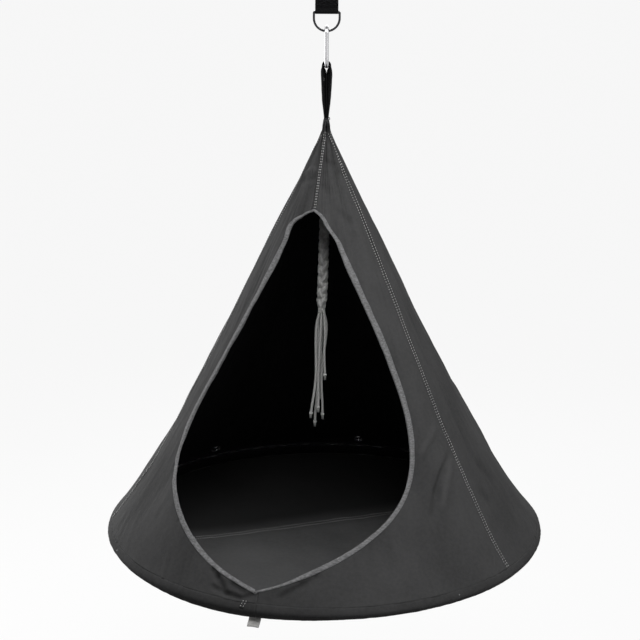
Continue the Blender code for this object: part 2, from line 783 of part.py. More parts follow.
def make_sleeve(parent):
    """The hem's rolled sleeve: its outside runs on from the cloth, round the hoop and back up inside."""
    drop = Vector((0, CLEARANCE * SLEEVE_FIT))
    outer_edge, inner_edge = (Vector(cone_side(offset, [HEM_HEIGHT])[0]) for offset in (0, -CANVAS))
    roll = arc((HOOP_RADIUS, 0), SLEEVE_RADIUS, *SLEEVE_SPAN, 11)
    profile = [outer_edge - drop, *roll, inner_edge - drop]
    sleeve = add_piece("hoop_sleeve", profile_mesh("hoop_sleeve", profile), parent, GREY_CANVAS, 0.9)
    turn(sleeve)
    channel = profile_mesh("sleeve_channel", circle_profile(HOOP_TUBE / 2 + CLEARANCE))
    channel = add_cutter("sleeve_channel", channel, parent)
    turn(channel)
    boolean(sleeve, channel)
    low = (-SLEEVE_SLOT_WIDTH / 2, HOOP_RADIUS - SLEEVE_SLOT_DEPTH, -2 * SLEEVE_RADIUS)
    high = (SLEEVE_SLOT_WIDTH / 2, HOOP_RADIUS + SLEEVE_SLOT_DEPTH, 0)
    boolean(sleeve, add_cutter("sleeve_slot", box_mesh("sleeve_slot", low, high), parent))


def make_tab(parent):
    """A blank tab under the hem, in line with the front seam."""
    top = -SLEEVE_RADIUS - CLEARANCE
    low = (-TAB_WIDTH / 2, -HOOP_RADIUS - TAB_THICKNESS / 2, top - TAB_LENGTH)
    high = (TAB_WIDTH / 2, -HOOP_RADIUS + TAB_THICKNESS / 2, top)
    add_piece("hem_tab", box_mesh("hem_tab", low, high), parent, (0.62, 0.61, 0.60), 0.8)


def make_floor(parent):
    """The floor cloth, which sags a little, in two halves that meet at a seam."""
    edge = HOOP_RADIUS - math.sqrt((SLEEVE_RADIUS + CLEARANCE) ** 2 - FLOOR_EDGE**2) - CLEARANCE

    def height(radius):
        return FLOOR_EDGE - FLOOR_SAG * (1 - (radius / edge) ** 2)

    radii = [edge * i / FLOOR_ROWS for i in range(FLOOR_ROWS + 1)]
    upper = [(r, height(r) + CANVAS / 2) for r in radii]
    lower = [(r, height(r) - CANVAS / 2) for r in radii]
    disc = profile_mesh("floor", upper + lower[::-1])
    reach = 2 * edge
    for name, side in (("floor_left", -1), ("floor_right", 1)):
        half = add_piece(name, disc.copy(), parent, GREY_CANVAS, 0.9)
        turn(half)
        near, far = sorted((side * CLEARANCE / 2, side * reach))
        mesh = box_mesh(f"{name}_side", (-reach, near, -edge), (reach, far, edge))
        block = add_cutter(mesh.name, mesh, parent)
        block.rotation_euler = (0, 0, FLOOR_SEAM_ANGLE)
        boolean(half, block, "INTERSECT")


# The rope and its tassel.


ROPE_ROUTE = ((0, 0, 0), (-0.0008, 0, -0.09), (-0.0034, 0, -0.22), (-0.0066, 0, -0.33))

# The rope's rounded top, on which it swings under the tail: how far down, and the share of its radius there.
ROPE_CROWN = ((0.0, 0.18), (0.0012, 0.74), (0.003, 1.0))
TIE_OFFSET = -0.0085

# A strand's last points: how far before its end, in its own diameters, and how thick it is there.
KNOT_SCALE = KNOT_DIAMETER / STRAND_DIAMETER
KNOT = ((1.6, 1.0), (1.0, KNOT_SCALE), (0.5, KNOT_SCALE), (0.1, 0.9), (-0.9, 1.15))

# Each strand of the tassel: where it leaves the tie, two places on its way, and its end,
# to the right, away from the door and above the hoop's plane.
STRANDS = (
    ((-0.0058, -0.0029), (-0.0214, -0.0040, 0.466), (-0.0216, -0.0045, 0.360), (-0.0319, -0.0060, 0.268)),
    ((-0.0058, 0.0029), (-0.0163, 0.0040, 0.466), (-0.0165, 0.0052, 0.350), (-0.0233, 0.0060, 0.243)),
    ((0.0, -0.0029), (-0.0106, -0.0050, 0.466), (-0.0150, -0.0062, 0.370), (-0.0160, -0.0100, 0.284)),
    ((0.0, 0.0029), (-0.0080, 0.0090, 0.466), (-0.0100, 0.0135, 0.380), (-0.0115, 0.0170, 0.305)),
    ((0.0058, -0.0029), (-0.0009, -0.0050, 0.466), (-0.0020, -0.0045, 0.410), (-0.0002, -0.0040, 0.3595)),
    ((0.0058, 0.0029), (0.0025, 0.0045, 0.466), (-0.0077, 0.0075, 0.3595), (-0.0054, 0.0100, 0.260)),
)


def make_rope(parent):
    """The thick rope, which tapers into its fixing at the top and is drawn in by the tie below."""
    tie_top = TIE_HEIGHT + TIE_LENGTH / 2 + CLEARANCE - ROPE_TOP
    route = [*ROPE_ROUTE, (TIE_OFFSET, 0, tie_top + TIE_LENGTH), (TIE_OFFSET, 0, tie_top)]
    points = smooth_path(route, ROPE_DIAMETER * ROPE_STEP)
    tip = (TIP_RADIUS - CANVAS - CLEARANCE) / (ROPE_DIAMETER / 2)
    waist = TIE_DIAMETER / ROPE_DIAMETER
    scales = []
    for point in points:
        opening = min(1.0, tip + (1 - tip) * -point.z / ROPE_TAPER)
        closing = min(1.0, waist + (1 - waist) * (point.z - tie_top) / ROPE_DIAMETER)
        scales.append(min(opening, closing))
    points = [Vector((0, 0, -down)) for down, _ in ROPE_CROWN] + points[1:]
    scales = [tip * share for _, share in ROPE_CROWN] + scales[1:]
    curve = tube_curve("grab_rope", points, ROPE_DIAMETER / 2, scales, resolution=3)
    add_piece("grab_rope", curve, parent, COTTON, 0.85)


def make_tie(parent):
    middle = TIE_HEIGHT - ROPE_TOP
    low = (TIE_OFFSET, 0, middle - TIE_LENGTH / 2)
    high = (TIE_OFFSET, 0, middle + TIE_LENGTH / 2)
    mesh = cylinder_mesh("rope_tie", TIE_DIAMETER / 2, low, high, 16)
    tie = add_piece("rope_tie", mesh, parent, COTTON, 0.85)
    shade(tie)


def make_strands(parent):
    """The tassel's strands, each with a knot at its end."""
    top = TIE_HEIGHT - TIE_LENGTH / 2 - CLEARANCE
    for number, (start, *rest) in enumerate(STRANDS, 1):
        x, y = TIE_OFFSET + start[0], start[1]
        route = [(x, y, top), (x, y, top - STRAND_DIAMETER / 2), *rest]
        points = smooth_path([(a, b, c - ROPE_TOP) for a, b, c in route], STRAND_DIAMETER * STRAND_STEP)
        last = points.pop()
        down = (last - points[-1]).normalized() * STRAND_DIAMETER
        scales = [1.0] * len(points) + [scale for _, scale in KNOT]
        points += [last - down * before for before, _ in KNOT]
        name = f"tassel_strand_{number}"
        curve = tube_curve(name, points, STRAND_DIAMETER / 2, scales)
        add_piece(name, curve, parent, COTTON, 0.85)


clear_scene()
PARTS = new_collection("hammock_tent")
CUTTERS = new_collection("hammock_tent_cutters")

hanger = frame("hanger", None, (0, 0, 0), TURN)
ring_pivot = frame("ring_pivot", hanger, (0, 0, -STRAP_DROP))
hook_pivot = frame("hook_pivot", ring_pivot, (0, 0, -(RING_INNER_HEIGHT + RING_WIRE)))
gate_pivot = frame("gate_pivot", hook_pivot, in_plane(gate_place()))
loop_pivot = frame("loop_pivot", hook_pivot, (0, 0, hook_layout()["bottom"]))
twist_pivot = frame("twist_pivot", loop_pivot, (0, 0, -LOOP_DROP), -TURN)
hoop_plane = frame("hoop_plane", twist_pivot, (0, 0, -CANOPY_HEIGHT))
rope_pivot = frame("rope_pivot", hoop_plane, (0, 0, ROPE_TOP), TURN)
bpy.context.view_layer.update()

make_strap(hanger)
make_ring(ring_pivot)
make_hook(hook_pivot, gate_pivot)
make_gate(gate_pivot)
make_pin(gate_pivot)
make_gate_spring(gate_pivot)
make_loops(loop_pivot)
make_tail(twist_pivot)
make_panels(hoop_plane)
make_binding(hoop_plane)
make_eyelets(hoop_plane)
make_hoop(hoop_plane)
make_sleeve(hoop_plane)
make_tab(hoop_plane)
make_floor(hoop_plane)
make_rope(rope_pivot)
make_tie(rope_pivot)
make_strands(rope_pivot)
bpy.context.view_layer.update()

for pivot in (ring_pivot, hook_pivot, gate_pivot, loop_pivot, twist_pivot, hoop_plane, rope_pivot):
    print(pivot.name, [round(value, 5) for value in pivot.matrix_world.translation])
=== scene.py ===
# %% [markdown]
# # A hanging hammock tent
# The real tent is a cone of canvas that hangs from one point. A round steel hoop in its hem holds it open,
# and a drop-shaped doorway lets its user in. The frame loaded below is the plain solid model, which carries
# the joints. Each cell then dresses one piece of it, and rides it on the body that moves it.

# %% Load the frame
import json
import math

import bmesh
import bpy
from mathutils import Matrix, Vector, noise
from mathutils.geometry import interpolate_bezier
from mathutils.kdtree import KDTree

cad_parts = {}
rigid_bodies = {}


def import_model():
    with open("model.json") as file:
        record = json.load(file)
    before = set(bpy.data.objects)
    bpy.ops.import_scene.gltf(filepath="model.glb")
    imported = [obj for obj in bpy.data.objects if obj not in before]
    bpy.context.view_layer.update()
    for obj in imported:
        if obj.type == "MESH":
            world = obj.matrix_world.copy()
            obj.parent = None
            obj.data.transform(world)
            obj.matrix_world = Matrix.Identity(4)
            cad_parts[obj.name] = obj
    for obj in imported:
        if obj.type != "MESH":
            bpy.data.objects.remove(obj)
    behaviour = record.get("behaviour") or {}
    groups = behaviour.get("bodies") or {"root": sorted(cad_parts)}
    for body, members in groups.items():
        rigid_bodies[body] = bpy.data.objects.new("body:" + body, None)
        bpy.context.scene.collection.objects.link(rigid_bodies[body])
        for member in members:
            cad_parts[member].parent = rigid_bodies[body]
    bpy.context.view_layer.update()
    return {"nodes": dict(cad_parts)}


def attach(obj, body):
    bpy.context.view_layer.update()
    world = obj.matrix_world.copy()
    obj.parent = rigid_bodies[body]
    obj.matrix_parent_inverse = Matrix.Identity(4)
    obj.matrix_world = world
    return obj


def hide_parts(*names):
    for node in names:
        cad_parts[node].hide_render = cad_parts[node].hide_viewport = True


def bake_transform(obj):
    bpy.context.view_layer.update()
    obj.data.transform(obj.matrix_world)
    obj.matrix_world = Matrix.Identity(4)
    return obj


for left_over in list(bpy.data.objects):
    bpy.data.objects.remove(left_over)
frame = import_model()
scene = bpy.context.scene

# %% [markdown]
# **Camera.** A long lens, four and a half metres away and a little above the tent, looks down on it. The
# doorway faces -Y, and the camera stands 17 degrees to its right, in line with the face of the ring.

# %% Camera
TURN = math.radians(17)
LOOKING_DOWN = math.radians(17.405)
ROLL = math.radians(0.22)
lens = bpy.data.cameras.new("viewpoint")
lens.sensor_width = 36
lens.lens = 117.93
lens.dof.use_dof = False
viewpoint = bpy.data.objects.new("viewpoint", lens)
viewpoint.location = (1.3053, -4.3106, 0.6042)
aim = Matrix.Rotation(TURN, 3, "Z") @ Matrix.Rotation(math.pi / 2 - LOOKING_DOWN, 3, "X")
viewpoint.rotation_euler = (aim @ Matrix.Rotation(ROLL, 3, "Z")).to_euler()
scene.collection.objects.link(viewpoint)
scene.camera = viewpoint
scene.view_settings.view_transform = "Standard"
print("camera at", tuple(round(value, 3) for value in viewpoint.location))

# %% [markdown]
# **Shader arithmetic.** Patterns such as a weave are sums and products of the place on the surface. Math
# nodes could be wired by hand, but a small class that wraps a socket lets Python write them as a formula.


# %% Shader arithmetic
class Field:
    """A node's output that takes part in arithmetic. Each operation adds a Math node to its tree."""

    def __init__(self, tree, socket=None):
        self.tree = tree
        self.socket = socket

    def node(self, kind, inputs=None, out=0, **settings):
        """Adds any node: its settings first, then the values or links of its sockets. Gives one output."""
        node = self.tree.nodes.new(kind)
        for name, value in settings.items():
            setattr(node, name, value)
        for key, value in (inputs or {}).items():
            if isinstance(value, Field):
                self.tree.links.new(value.socket, node.inputs[key])
            else:
                node.inputs[key].default_value = value
        return Field(self.tree, node.outputs[out])

    def math(self, operation, *values):
        return self.node("ShaderNodeMath", dict(enumerate(values)), operation=operation)

    def __add__(self, other):
        return self.math("ADD", self, other)

    def __sub__(self, other):
        return self.math("SUBTRACT", self, other)

    def __rsub__(self, other):
        return self.math("SUBTRACT", other, self)

    def __mul__(self, other):
        return self.math("MULTIPLY", self, other)

    def __truediv__(self, other):
        return self.math("DIVIDE", self, other)

    __radd__ = __add__
    __rmul__ = __mul__

    def wave(self, length):
        """A sine wave along this field, of the given length."""
        return self.math("SINE", self * (math.tau / length))

    def between(self, low, high):
        """0 below low, 1 above high, smooth in between."""
        sockets = {0: self, 1: low, 2: high}
        return self.node("ShaderNodeMapRange", sockets, interpolation_type="SMOOTHSTEP")

    def tint(self, low, high):
        """A colour that runs from low, where this field is 0, to high, where it is 1."""
        return self.node("ShaderNodeMix", {0: self, 6: (*low, 1), 7: (*high, 1)}, out=2, data_type="RGBA")


def speckle(space, scale, detail=2.0, stretch=(1, 1, 1)):
    """Noise from 0 to 1, its grain about 1 / scale metres."""
    place = space.node("ShaderNodeMapping", {0: space, 3: stretch})
    return place.node("ShaderNodeTexNoise", {"Vector": place, "Scale": scale, "Detail": detail})


print("shader arithmetic is ready")

# %% [markdown]
# **Finishes.** Every material starts from the same shader. Its constants are set on the shader's own sockets,
# and only what varies over a surface is wired: colour, roughness, and a bump for the relief. Cloth scatters
# light between its fibres, so its mirror level is set far below that of a solid.


# %% Start and wire a finish
def new_finish(name, roughness, metallic=0.0, mirror=0.1):
    """A material, and the field that places its patterns: the space of the object."""
    material = bpy.data.materials.new(name)
    material.use_nodes = True
    shader = material.node_tree.nodes["Principled BSDF"]
    shader.inputs["Roughness"].default_value = roughness
    shader.inputs["Metallic"].default_value = metallic
    shader.inputs["Specular IOR Level"].default_value = 0.5 if metallic else mirror
    start = Field(material.node_tree)
    return material, start.node("ShaderNodeTexCoord", out=3)


def wire_finish(material, colour=None, roughness=None, relief=None, depth=0.0003, strength=0.6):
    """Links a material's varying colour, roughness and relief to its shader."""
    tree = material.node_tree
    shader = tree.nodes["Principled BSDF"]
    if relief:
        sockets = {"Height": relief, "Distance": depth, "Strength": strength}
        normal = Field(tree).node("ShaderNodeBump", sockets)
        tree.links.new(normal.socket, shader.inputs["Normal"])
    for socket, field in (("Base Color", colour), ("Roughness", roughness)):
        if field:
            tree.links.new(field.socket, shader.inputs[socket])
    return material


def flat_cloth(space):
    """The two directions of a cloth, in metres, from the piece's own map."""
    place = space.node("ShaderNodeUVMap", uv_map="metres")
    return (place.node("ShaderNodeSeparateXYZ", {0: place}, out=axis) for axis in (0, 1))


def plain_weave(along, across, pitch):
    """Threads that pass over and under each other, as a height from 0 to 1."""
    warp = along.wave(2 * pitch)
    weft = across.wave(2 * pitch)
    product = warp * weft
    over = product.math("GREATER_THAN", product, 0.0)
    return over * warp.math("ABSOLUTE", warp) + (1 - over) * weft.math("ABSOLUTE", weft)


print("finishes can be wired")

# %% [markdown]
# ** Canvas.** The tent's cloth is a heavy dark grey canvas. Its threads differ a little in shade, so fine noise
# stretched along each direction gives it a heather, and broad faint clouds keep it from looking printed. It is
# painted darker in the hollows of its folds, as painted shade, and lighter on their crests, partly as wear.
# Its inner face is the same weave painted near black, as painted shade inside the tent. The floor is the same
# canvas painted lighter, as painted light, with a painted shadow that darkens its rear away from its seam.

# %% Canvas
THREAD_PITCH = 0.0009


def canvas_finish(name, dark, light, coat, fade=None):
    """fade gives the two places across the cloth between which a painted shadow darkens it."""
    material, space = new_finish(name, coat)
    along, across = flat_cloth(space)
    upright = speckle(space, 900, 2.0, (1, 1, 0.12))
    level = speckle(space, 700, 2.0, (0.15, 0.15, 1))
    threads = upright * 0.5 + level * 0.5
    clouds = speckle(space, 9, 4.0).between(0.3, 0.7)
    grain = speckle(space, 130, 3.0).between(0.25, 0.75)
    # Painted shade: the hollows of the folds are painted darker and their crests lighter, partly as wear.
    painted_fold_shade = space.node("ShaderNodeAttribute", attribute_name="painted_fold_shade", out=2)
    shade = threads.between(0.25, 0.75) * 0.2 + grain * 0.2 + clouds * 0.25 + painted_fold_shade * 0.35
    # Painted shadow: the floor is darkened behind its seam, where the canopy shades it.
    if fade:
        shade = (shade * 0.4 + 0.6) * (1 - across.between(*fade) * 0.88)
    rough = 0.84 + threads * 0.1
    relief = plain_weave(along, across, THREAD_PITCH)
    return wire_finish(material, shade.tint(dark, light), rough, relief, 0.0002, 0.5)


canvas = canvas_finish("tent_canvas", (0.0438, 0.0438, 0.0443), (0.0910, 0.0910, 0.0918), 0.88)
# The inner face is the same canvas painted near black: painted shade for the inside of the tent.
inside_painted_shade = canvas_finish("tent_inside_painted_shade", (0.0035, 0.0035, 0.004), (0.007, 0.007, 0.0075), 0.92)
# The floor is the tent's canvas painted lighter, as painted light where light falls in through the doorway, and
# darkened behind its seam as painted shadow.
floor_painted_light_tones = (0.010, 0.010, 0.0102), (0.126, 0.126, 0.1275)
floor_canvas_painted_light = canvas_finish("floor_canvas_painted_light", *floor_painted_light_tones, 0.86, fade=(0.02, 0.13))
print("canvas:", canvas.name, inside_painted_shade.name, floor_canvas_painted_light.name)

# %% [markdown]
# **Melange tape and thread.** The doorway is bound with a light grey tape whose yarns mix pale and dark fibres.
# The seams are sewn with a pale thread, and the hem and webbing with a dark one.


# %% Melange tape and thread
def tape_finish(name, dark, light, pitch):
    """A ribbed tape, with lengthwise flecks of its two yarns."""
    material, space = new_finish(name, 0.85)
    along, across = flat_cloth(space)
    flecks = speckle(space, 420, 3.0, (0.35, 0.35, 1))
    fibres = speckle(space, 1300, 1.0)
    shade = flecks.between(0.3, 0.7) * 0.7 + fibres * 0.3
    ribs = across.wave(pitch) * 0.5 + 0.5
    relief = ribs * 0.6 + plain_weave(along, across, pitch) * 0.4
    return wire_finish(material, (shade - (1 - ribs) * 0.15).tint(dark, light), None, relief, 0.0003, 0.7)


def thread_finish(name, colour):
    """A twisted thread: fine slanting plies."""
    material, space = new_finish(name, 0.7)
    plies = speckle(space, 1500, 1.0)
    dark = tuple(0.7 * part for part in colour)
    return wire_finish(material, plies.tint(dark, colour), None, plies, 0.0001, 0.4)


melange = tape_finish("melange_tape", (0.15, 0.15, 0.153), (0.33, 0.33, 0.335), 0.0016)
pale_tape = tape_finish("pale_tape", (0.80, 0.79, 0.77), (0.92, 0.91, 0.89), 0.0009)
pale_thread = thread_finish("pale_thread", (0.80, 0.80, 0.79))
dark_thread = thread_finish("dark_thread", (0.030, 0.030, 0.033))
print("tapes:", melange.name, pale_tape.name)

# %% [markdown]
# **Webbing, cotton and metals.** The webbing is black and shows a fine herringbone, mostly in its relief. The
# rope is grey cotton, twisted and slightly fluffy. The ring is dark polished steel, the hook bright zinc with
# fine scratches, and the hoop plain tube.


# %% Webbing, cotton and metals
def webbing_finish(name, dark, light):
    """Slanting ribs that turn back at intervals across the width, as in a herringbone."""
    material, space = new_finish(name, 0.62, mirror=0.04)
    along, across = flat_cloth(space)
    zigzag = across.math("PINGPONG", across, 0.006)
    ribs = (along + zigzag).wave(0.0022) * 0.5 + 0.5
    yarns = across.wave(0.0011) * 0.5 + 0.5
    shade = ribs * 0.5 + yarns * 0.2 + speckle(space, 600) * 0.3
    return wire_finish(material, shade.tint(dark, light), None, ribs * 0.7 + yarns * 0.3, 0.0004, 0.8)


def cotton_finish(name, dark, light):
    """Twisted yarns that wind round a cord, from its map: once round is 1, along is in metres."""
    material, space = new_finish(name, 0.9)
    along, around = flat_cloth(space)
    turns = around * 3 + along / 0.011
    yarn = 1 - turns.math("PINGPONG", turns, 0.5) * 2
    fluff = speckle(space, 900, 3.0)
    shade = yarn.between(0.0, 0.5) * 0.6 + fluff * 0.4
    return wire_finish(material, shade.tint(dark, light), None, yarn * 0.7 + fluff * 0.3, 0.0006, 0.8)


def metal_finish(name, dark, light, rough, scratch=0.12):
    """Metal with faint clouds of handling, and fine scratches that only change its gloss."""
    material, space = new_finish(name, rough, 1.0)
    clouds = speckle(space, 60, 3.0)
    marks = speckle(space, 500, 2.0, (1, 1, 0.08))
    gloss = rough + marks.between(0.5, 0.8) * scratch + clouds * 0.05
    return wire_finish(material, clouds.tint(dark, light), gloss, marks, 0.00002, 0.1)


webbing = webbing_finish("herringbone_webbing", (0.002, 0.002, 0.0022), (0.007, 0.007, 0.0075))
# The loops are the same black webbing painted lighter: painted light where they hang in shade.
loop_webbing_painted_light = webbing_finish("loop_webbing_painted_light", (0.004, 0.004, 0.0043), (0.017, 0.017, 0.0175))
cotton = cotton_finish("twisted_cotton", (0.58, 0.58, 0.57), (0.84, 0.84, 0.82))
ring_steel = metal_finish("dark_polished_steel", (0.018, 0.018, 0.020), (0.045, 0.045, 0.048), 0.14)
hook_steel = metal_finish("bright_zinc", (0.42, 0.42, 0.43), (0.56, 0.56, 0.57), 0.20)
hoop_steel = metal_finish("tube_steel", (0.34, 0.34, 0.35), (0.45, 0.45, 0.46), 0.35)
eyelet_steel = metal_finish("eyelet_nickel", (0.70, 0.70, 0.71), (0.85, 0.85, 0.86), 0.24)
print("webbing, cotton and four metals")

# %% [markdown]
# ** Making a piece.** A helper turns a bmesh into an object with its finishes, rides it on its body and hides the
# plain solids that it stands for. Cloth starts as a flat grid of cells. Each corner is then carried to its
# place, and keeps a map in metres, so that its weave follows it.


# %% Helpers for pieces
def keep_piece(shape, name, body, finishes, nodes=(), smooth=True):
    """An object from a finished bmesh, on its body."""
    mesh = bpy.data.meshes.new(name)
    shape.to_mesh(mesh)
    shape.free()
    piece = bpy.data.objects.new(name, mesh)
    scene.collection.objects.link(piece)
    for finish in finishes:
        mesh.materials.append(finish)
    mesh.polygons.foreach_set("use_smooth", [smooth] * len(mesh.polygons))
    if body:
        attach(piece, body)
    if nodes:
        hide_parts(*nodes)
    return piece


def cloth_grid(columns, rows, place, flat, keep=None):
    """A flat grid whose corners go to place(u, w), u and w from 0 to 1. flat(u, w) is its map in metres."""
    shape = bmesh.new()
    bmesh.ops.create_grid(shape, x_segments=columns, y_segments=rows, size=0.5)
    flat_map = shape.loops.layers.uv.new("metres")
    corners = [(corner.co.x + 0.5, corner.co.y + 0.5) for corner in shape.verts]
    for corner, (u, w) in zip(shape.verts, corners):
        corner.co = place(u, w)
    shape.verts.index_update()
    for face in shape.faces:
        for loop in face.loops:
            loop[flat_map].uv = flat(*corners[loop.vert.index])
    if keep:
        gone = [face for face in shape.faces if not keep(*corners[face.verts[0].index])]
        bmesh.ops.delete(shape, geom=gone, context="FACES")
    return shape


def thicken(piece, thickness, inner=0, offset=-1.0):
    """Gives a sheet its thickness, its inner face in another of its finishes."""
    solid = piece.modifiers.new("Thickness", "SOLIDIFY")
    solid.thickness = thickness
    solid.offset = offset
    solid.use_even_offset = False
    solid.material_offset = inner


def finish_plain(node, finish):
    """Gives a finish to a plain solid that stays in sight."""
    node.data.materials.clear()
    node.data.materials.append(finish)


def weld(shape, reach, flip=False):
    """Joins corners that lie on each other, and turns the faces over where they look the wrong way."""
    bmesh.ops.remove_doubles(shape, verts=shape.verts, dist=reach)
    if flip:
        bmesh.ops.reverse_faces(shape, faces=shape.faces)


def smooth_step(value, low=0.0, high=1.0):
    """0 below low, 1 above high, smooth in between."""
    share = min(1.0, max(0.0, (value - low) / (high - low)))
    return share * share * (3 - 2 * share)


def wrinkle(*place):
    """Smooth noise at a place, from -1 to 1."""
    return noise.noise(Vector(place))


def aimed(place, way):
    """The matrix that carries an upright shape to a place and leans it along a direction."""
    return Matrix.Translation(place) @ way.to_track_quat("Z", "Y").to_matrix().to_4x4()


print("helpers for pieces are ready")

# %% [markdown]
# **Rows of stitches.** A sewn seam shows as a row of short raised threads. Each stitch here is a small ball
# stretched along the row, with only a few faces, because a seam has hundreds of them.


# %% Rows of stitches
def stitch_places(line, pitch):
    """Where each stitch lies along a line of (point, outward) pairs."""
    places = []
    walked = pitch / 2
    for (here, out), (there, _) in zip(line, line[1:]):
        step = there - here
        along = step.normalized()
        side = along.cross(out).normalized()
        turned = Matrix((along, side, along.cross(side))).transposed().to_4x4()
        while walked < step.length:
            places.append(Matrix.Translation(here + along * walked) @ turned)
            walked += pitch
        walked -= step.length
    return places


def join_shapes(shapes):
    """Several bmeshes as one."""
    whole = bmesh.new()
    for shape in shapes:
        mesh = bpy.data.meshes.new("part")
        shape.to_mesh(mesh)
        shape.free()
        whole.from_mesh(mesh)
        bpy.data.meshes.remove(mesh)
    return whole


def stitch_piece(name, body, lines, pitch, length, radius, thread):
    """One piece that holds several rows of stitches. A few at a time are made, which is quicker."""
    places = [place for line in lines for place in stitch_places(line, pitch)]
    size = Matrix.Diagonal((length / 2, radius, radius, 1))
    batch, groups = 10, []
    for first in range(0, len(places), batch):
        few = bmesh.new()
        for place in places[first : first + batch]:
            bmesh.ops.create_uvsphere(few, u_segments=6, v_segments=4, radius=1, matrix=place @ size)
        groups.append(few)
    keep_piece(join_shapes(groups), name, body, [thread])
    print(name, "has", len(places), "stitches")


# %% [markdown]
# **The form of the cone.** The cloth hangs from its tip to the hoop. Its side is nearly straight, and flares a
# little near the hem. Any place on it is an angle round the middle, 0 at the doorway, and a height above the
# hoop's plane. These are the plain model's own sizes. The flare is a share of the rim's radius.

# %% The form of the cone
HOOP_Z = -1.30005
TIP_Z = -0.34805
CANVAS = 0.0016
CANOPY_HEIGHT = 0.952
CONE_HEIGHT = 0.9361
HEM_HEIGHT = 0.016
HOOP_RADIUS = 0.4856
HEM_RADIUS = 0.4885
TIP_RADIUS = 0.0062
SLEEVE_RADIUS = 0.0144
PANEL_ANGLE = math.tau / 5
FLARE = 0.0895
FLARE_POWER = 6.8


def around(angle, radius, height):
    """A place at an angle round the middle."""
    return Vector((math.sin(angle) * radius, -math.cos(angle) * radius, height))


def cone_radius(height):
    """Outer radius of the smooth cloth at a height above the hoop's plane."""
    fall = max(0.0, (CONE_HEIGHT - height) / (CONE_HEIGHT - HEM_HEIGHT))
    side = (1 - FLARE) * fall + FLARE * fall**FLARE_POWER
    return math.hypot(HEM_RADIUS * side, TIP_RADIUS * (1 - fall**4))


def cone_slope(height):
    """(outward, upward) parts of the smooth cloth's normal at a height."""
    slope = (cone_radius(height - 0.001) - cone_radius(height + 0.001)) / 0.002
    return 1 / math.hypot(1, slope), slope / math.hypot(1, slope)


def outward(angle, height):
    """The smooth cloth's normal."""
    return around(angle, *cone_slope(height))


print("radius at the hem, middle and tip:", [round(cone_radius(h), 4) for h in (HEM_HEIGHT, 0.45, 0.94)])

# %% [markdown]
# **Folds.** Real canvas is never a perfect cone. It gathers into pleats at the tip, pulls in long soft folds
# below them, ripples where the hem is eased on to the hoop, and creases below the doorway. A cloth simulation
# could find such folds, but not the ones that this tent has, so they are written as small heights: noise for
# the soft ones, and a list of single creases for the sharp ones.


# %% Folds
CREASES = (
    # Each from (across, height) to (across, height), its depth and half width, in metres. Across is measured
    # on the cloth from the front seam.
    ((-0.118, 0.056), (-0.100, 0.045), -0.0072, 0.005),
    ((-0.102, 0.046), (-0.080, 0.029), -0.0080, 0.005),
    ((-0.106, 0.027), (-0.070, 0.021), -0.0062, 0.004),
    ((-0.074, 0.021), (-0.036, 0.018), -0.0080, 0.004),
    ((-0.030, 0.020), (-0.004, 0.030), -0.0061, 0.004),
    ((-0.066, 0.040), (-0.032, 0.029), -0.0047, 0.004),
    ((0.120, 0.068), (0.086, 0.050), -0.0054, 0.005),
    ((0.088, 0.051), (0.048, 0.028), -0.0061, 0.005),
    ((0.362, 0.303), (0.326, 0.270), 0.0041, 0.008),
    ((0.411, 0.248), (0.392, 0.224), -0.0054, 0.008),
    ((0.393, 0.226), (0.376, 0.189), -0.0081, 0.009),
    ((0.377, 0.190), (0.369, 0.150), -0.0054, 0.011),
    ((0.412, 0.225), (0.398, 0.165), 0.0047, 0.014),
    ((0.548, 0.200), (0.622, 0.152), -0.0041, 0.009),
    ((0.524, 0.159), (0.578, 0.129), -0.0038, 0.009),
    ((-0.012, 0.850), (-0.050, 0.832), 0.0030, 0.005),
    ((-0.012, 0.832), (-0.044, 0.820), -0.0030, 0.006),
    ((0.003, 0.866), (0.036, 0.857), -0.0030, 0.006),
    ((0.040, 0.846), (0.058, 0.836), -0.0027, 0.005),
    ((0.006, 0.817), (0.028, 0.806), -0.0024, 0.006),
    ((0.047, 0.769), (0.086, 0.741), -0.0035, 0.007),
    ((-0.465, 0.270), (-0.522, 0.150), -0.0040, 0.035),
    ((0.600, 0.340), (0.722, 0.200), 0.0045, 0.040),
)


def crease_height(across, height):
    """The sum of the single creases at a place."""
    total = 0.0
    for start, end, depth, width in CREASES:
        if not min(start[1], end[1]) - 0.05 < height < max(start[1], end[1]) + 0.05:
            continue
        along = Vector(end) - Vector(start)
        reach = Vector((across, height)) - Vector(start)
        share = reach.dot(along) / along.length_squared
        away = abs(reach.x * along.y - reach.y * along.x) / along.length
        if -0.3 < share < 1.3 and away < 3 * width:
            fade = smooth_step(share, -0.3, 0.15) * (1 - smooth_step(share, 0.85, 1.3))
            total += depth * math.exp(-((away / width) ** 2)) * fade
    return total


def seam_ridge(angle, height):
    """Each seam stands out a little, because the doubled cloth is pulled tight between tip and hoop."""
    nearest, seam = min((abs(angle - PANEL_ANGLE * turns), turns) for turns in range(-2, 3))
    away = nearest * cone_radius(height)
    # The seam to the left of the doorway lies flatter than the others.
    ridge = 0.0015 if seam == -1 else 0.0060
    rise = ridge * smooth_step(height, 0.02, 0.25) * (1 - smooth_step(height, 0.62, 0.86))
    return rise * math.exp(-away / 0.04)


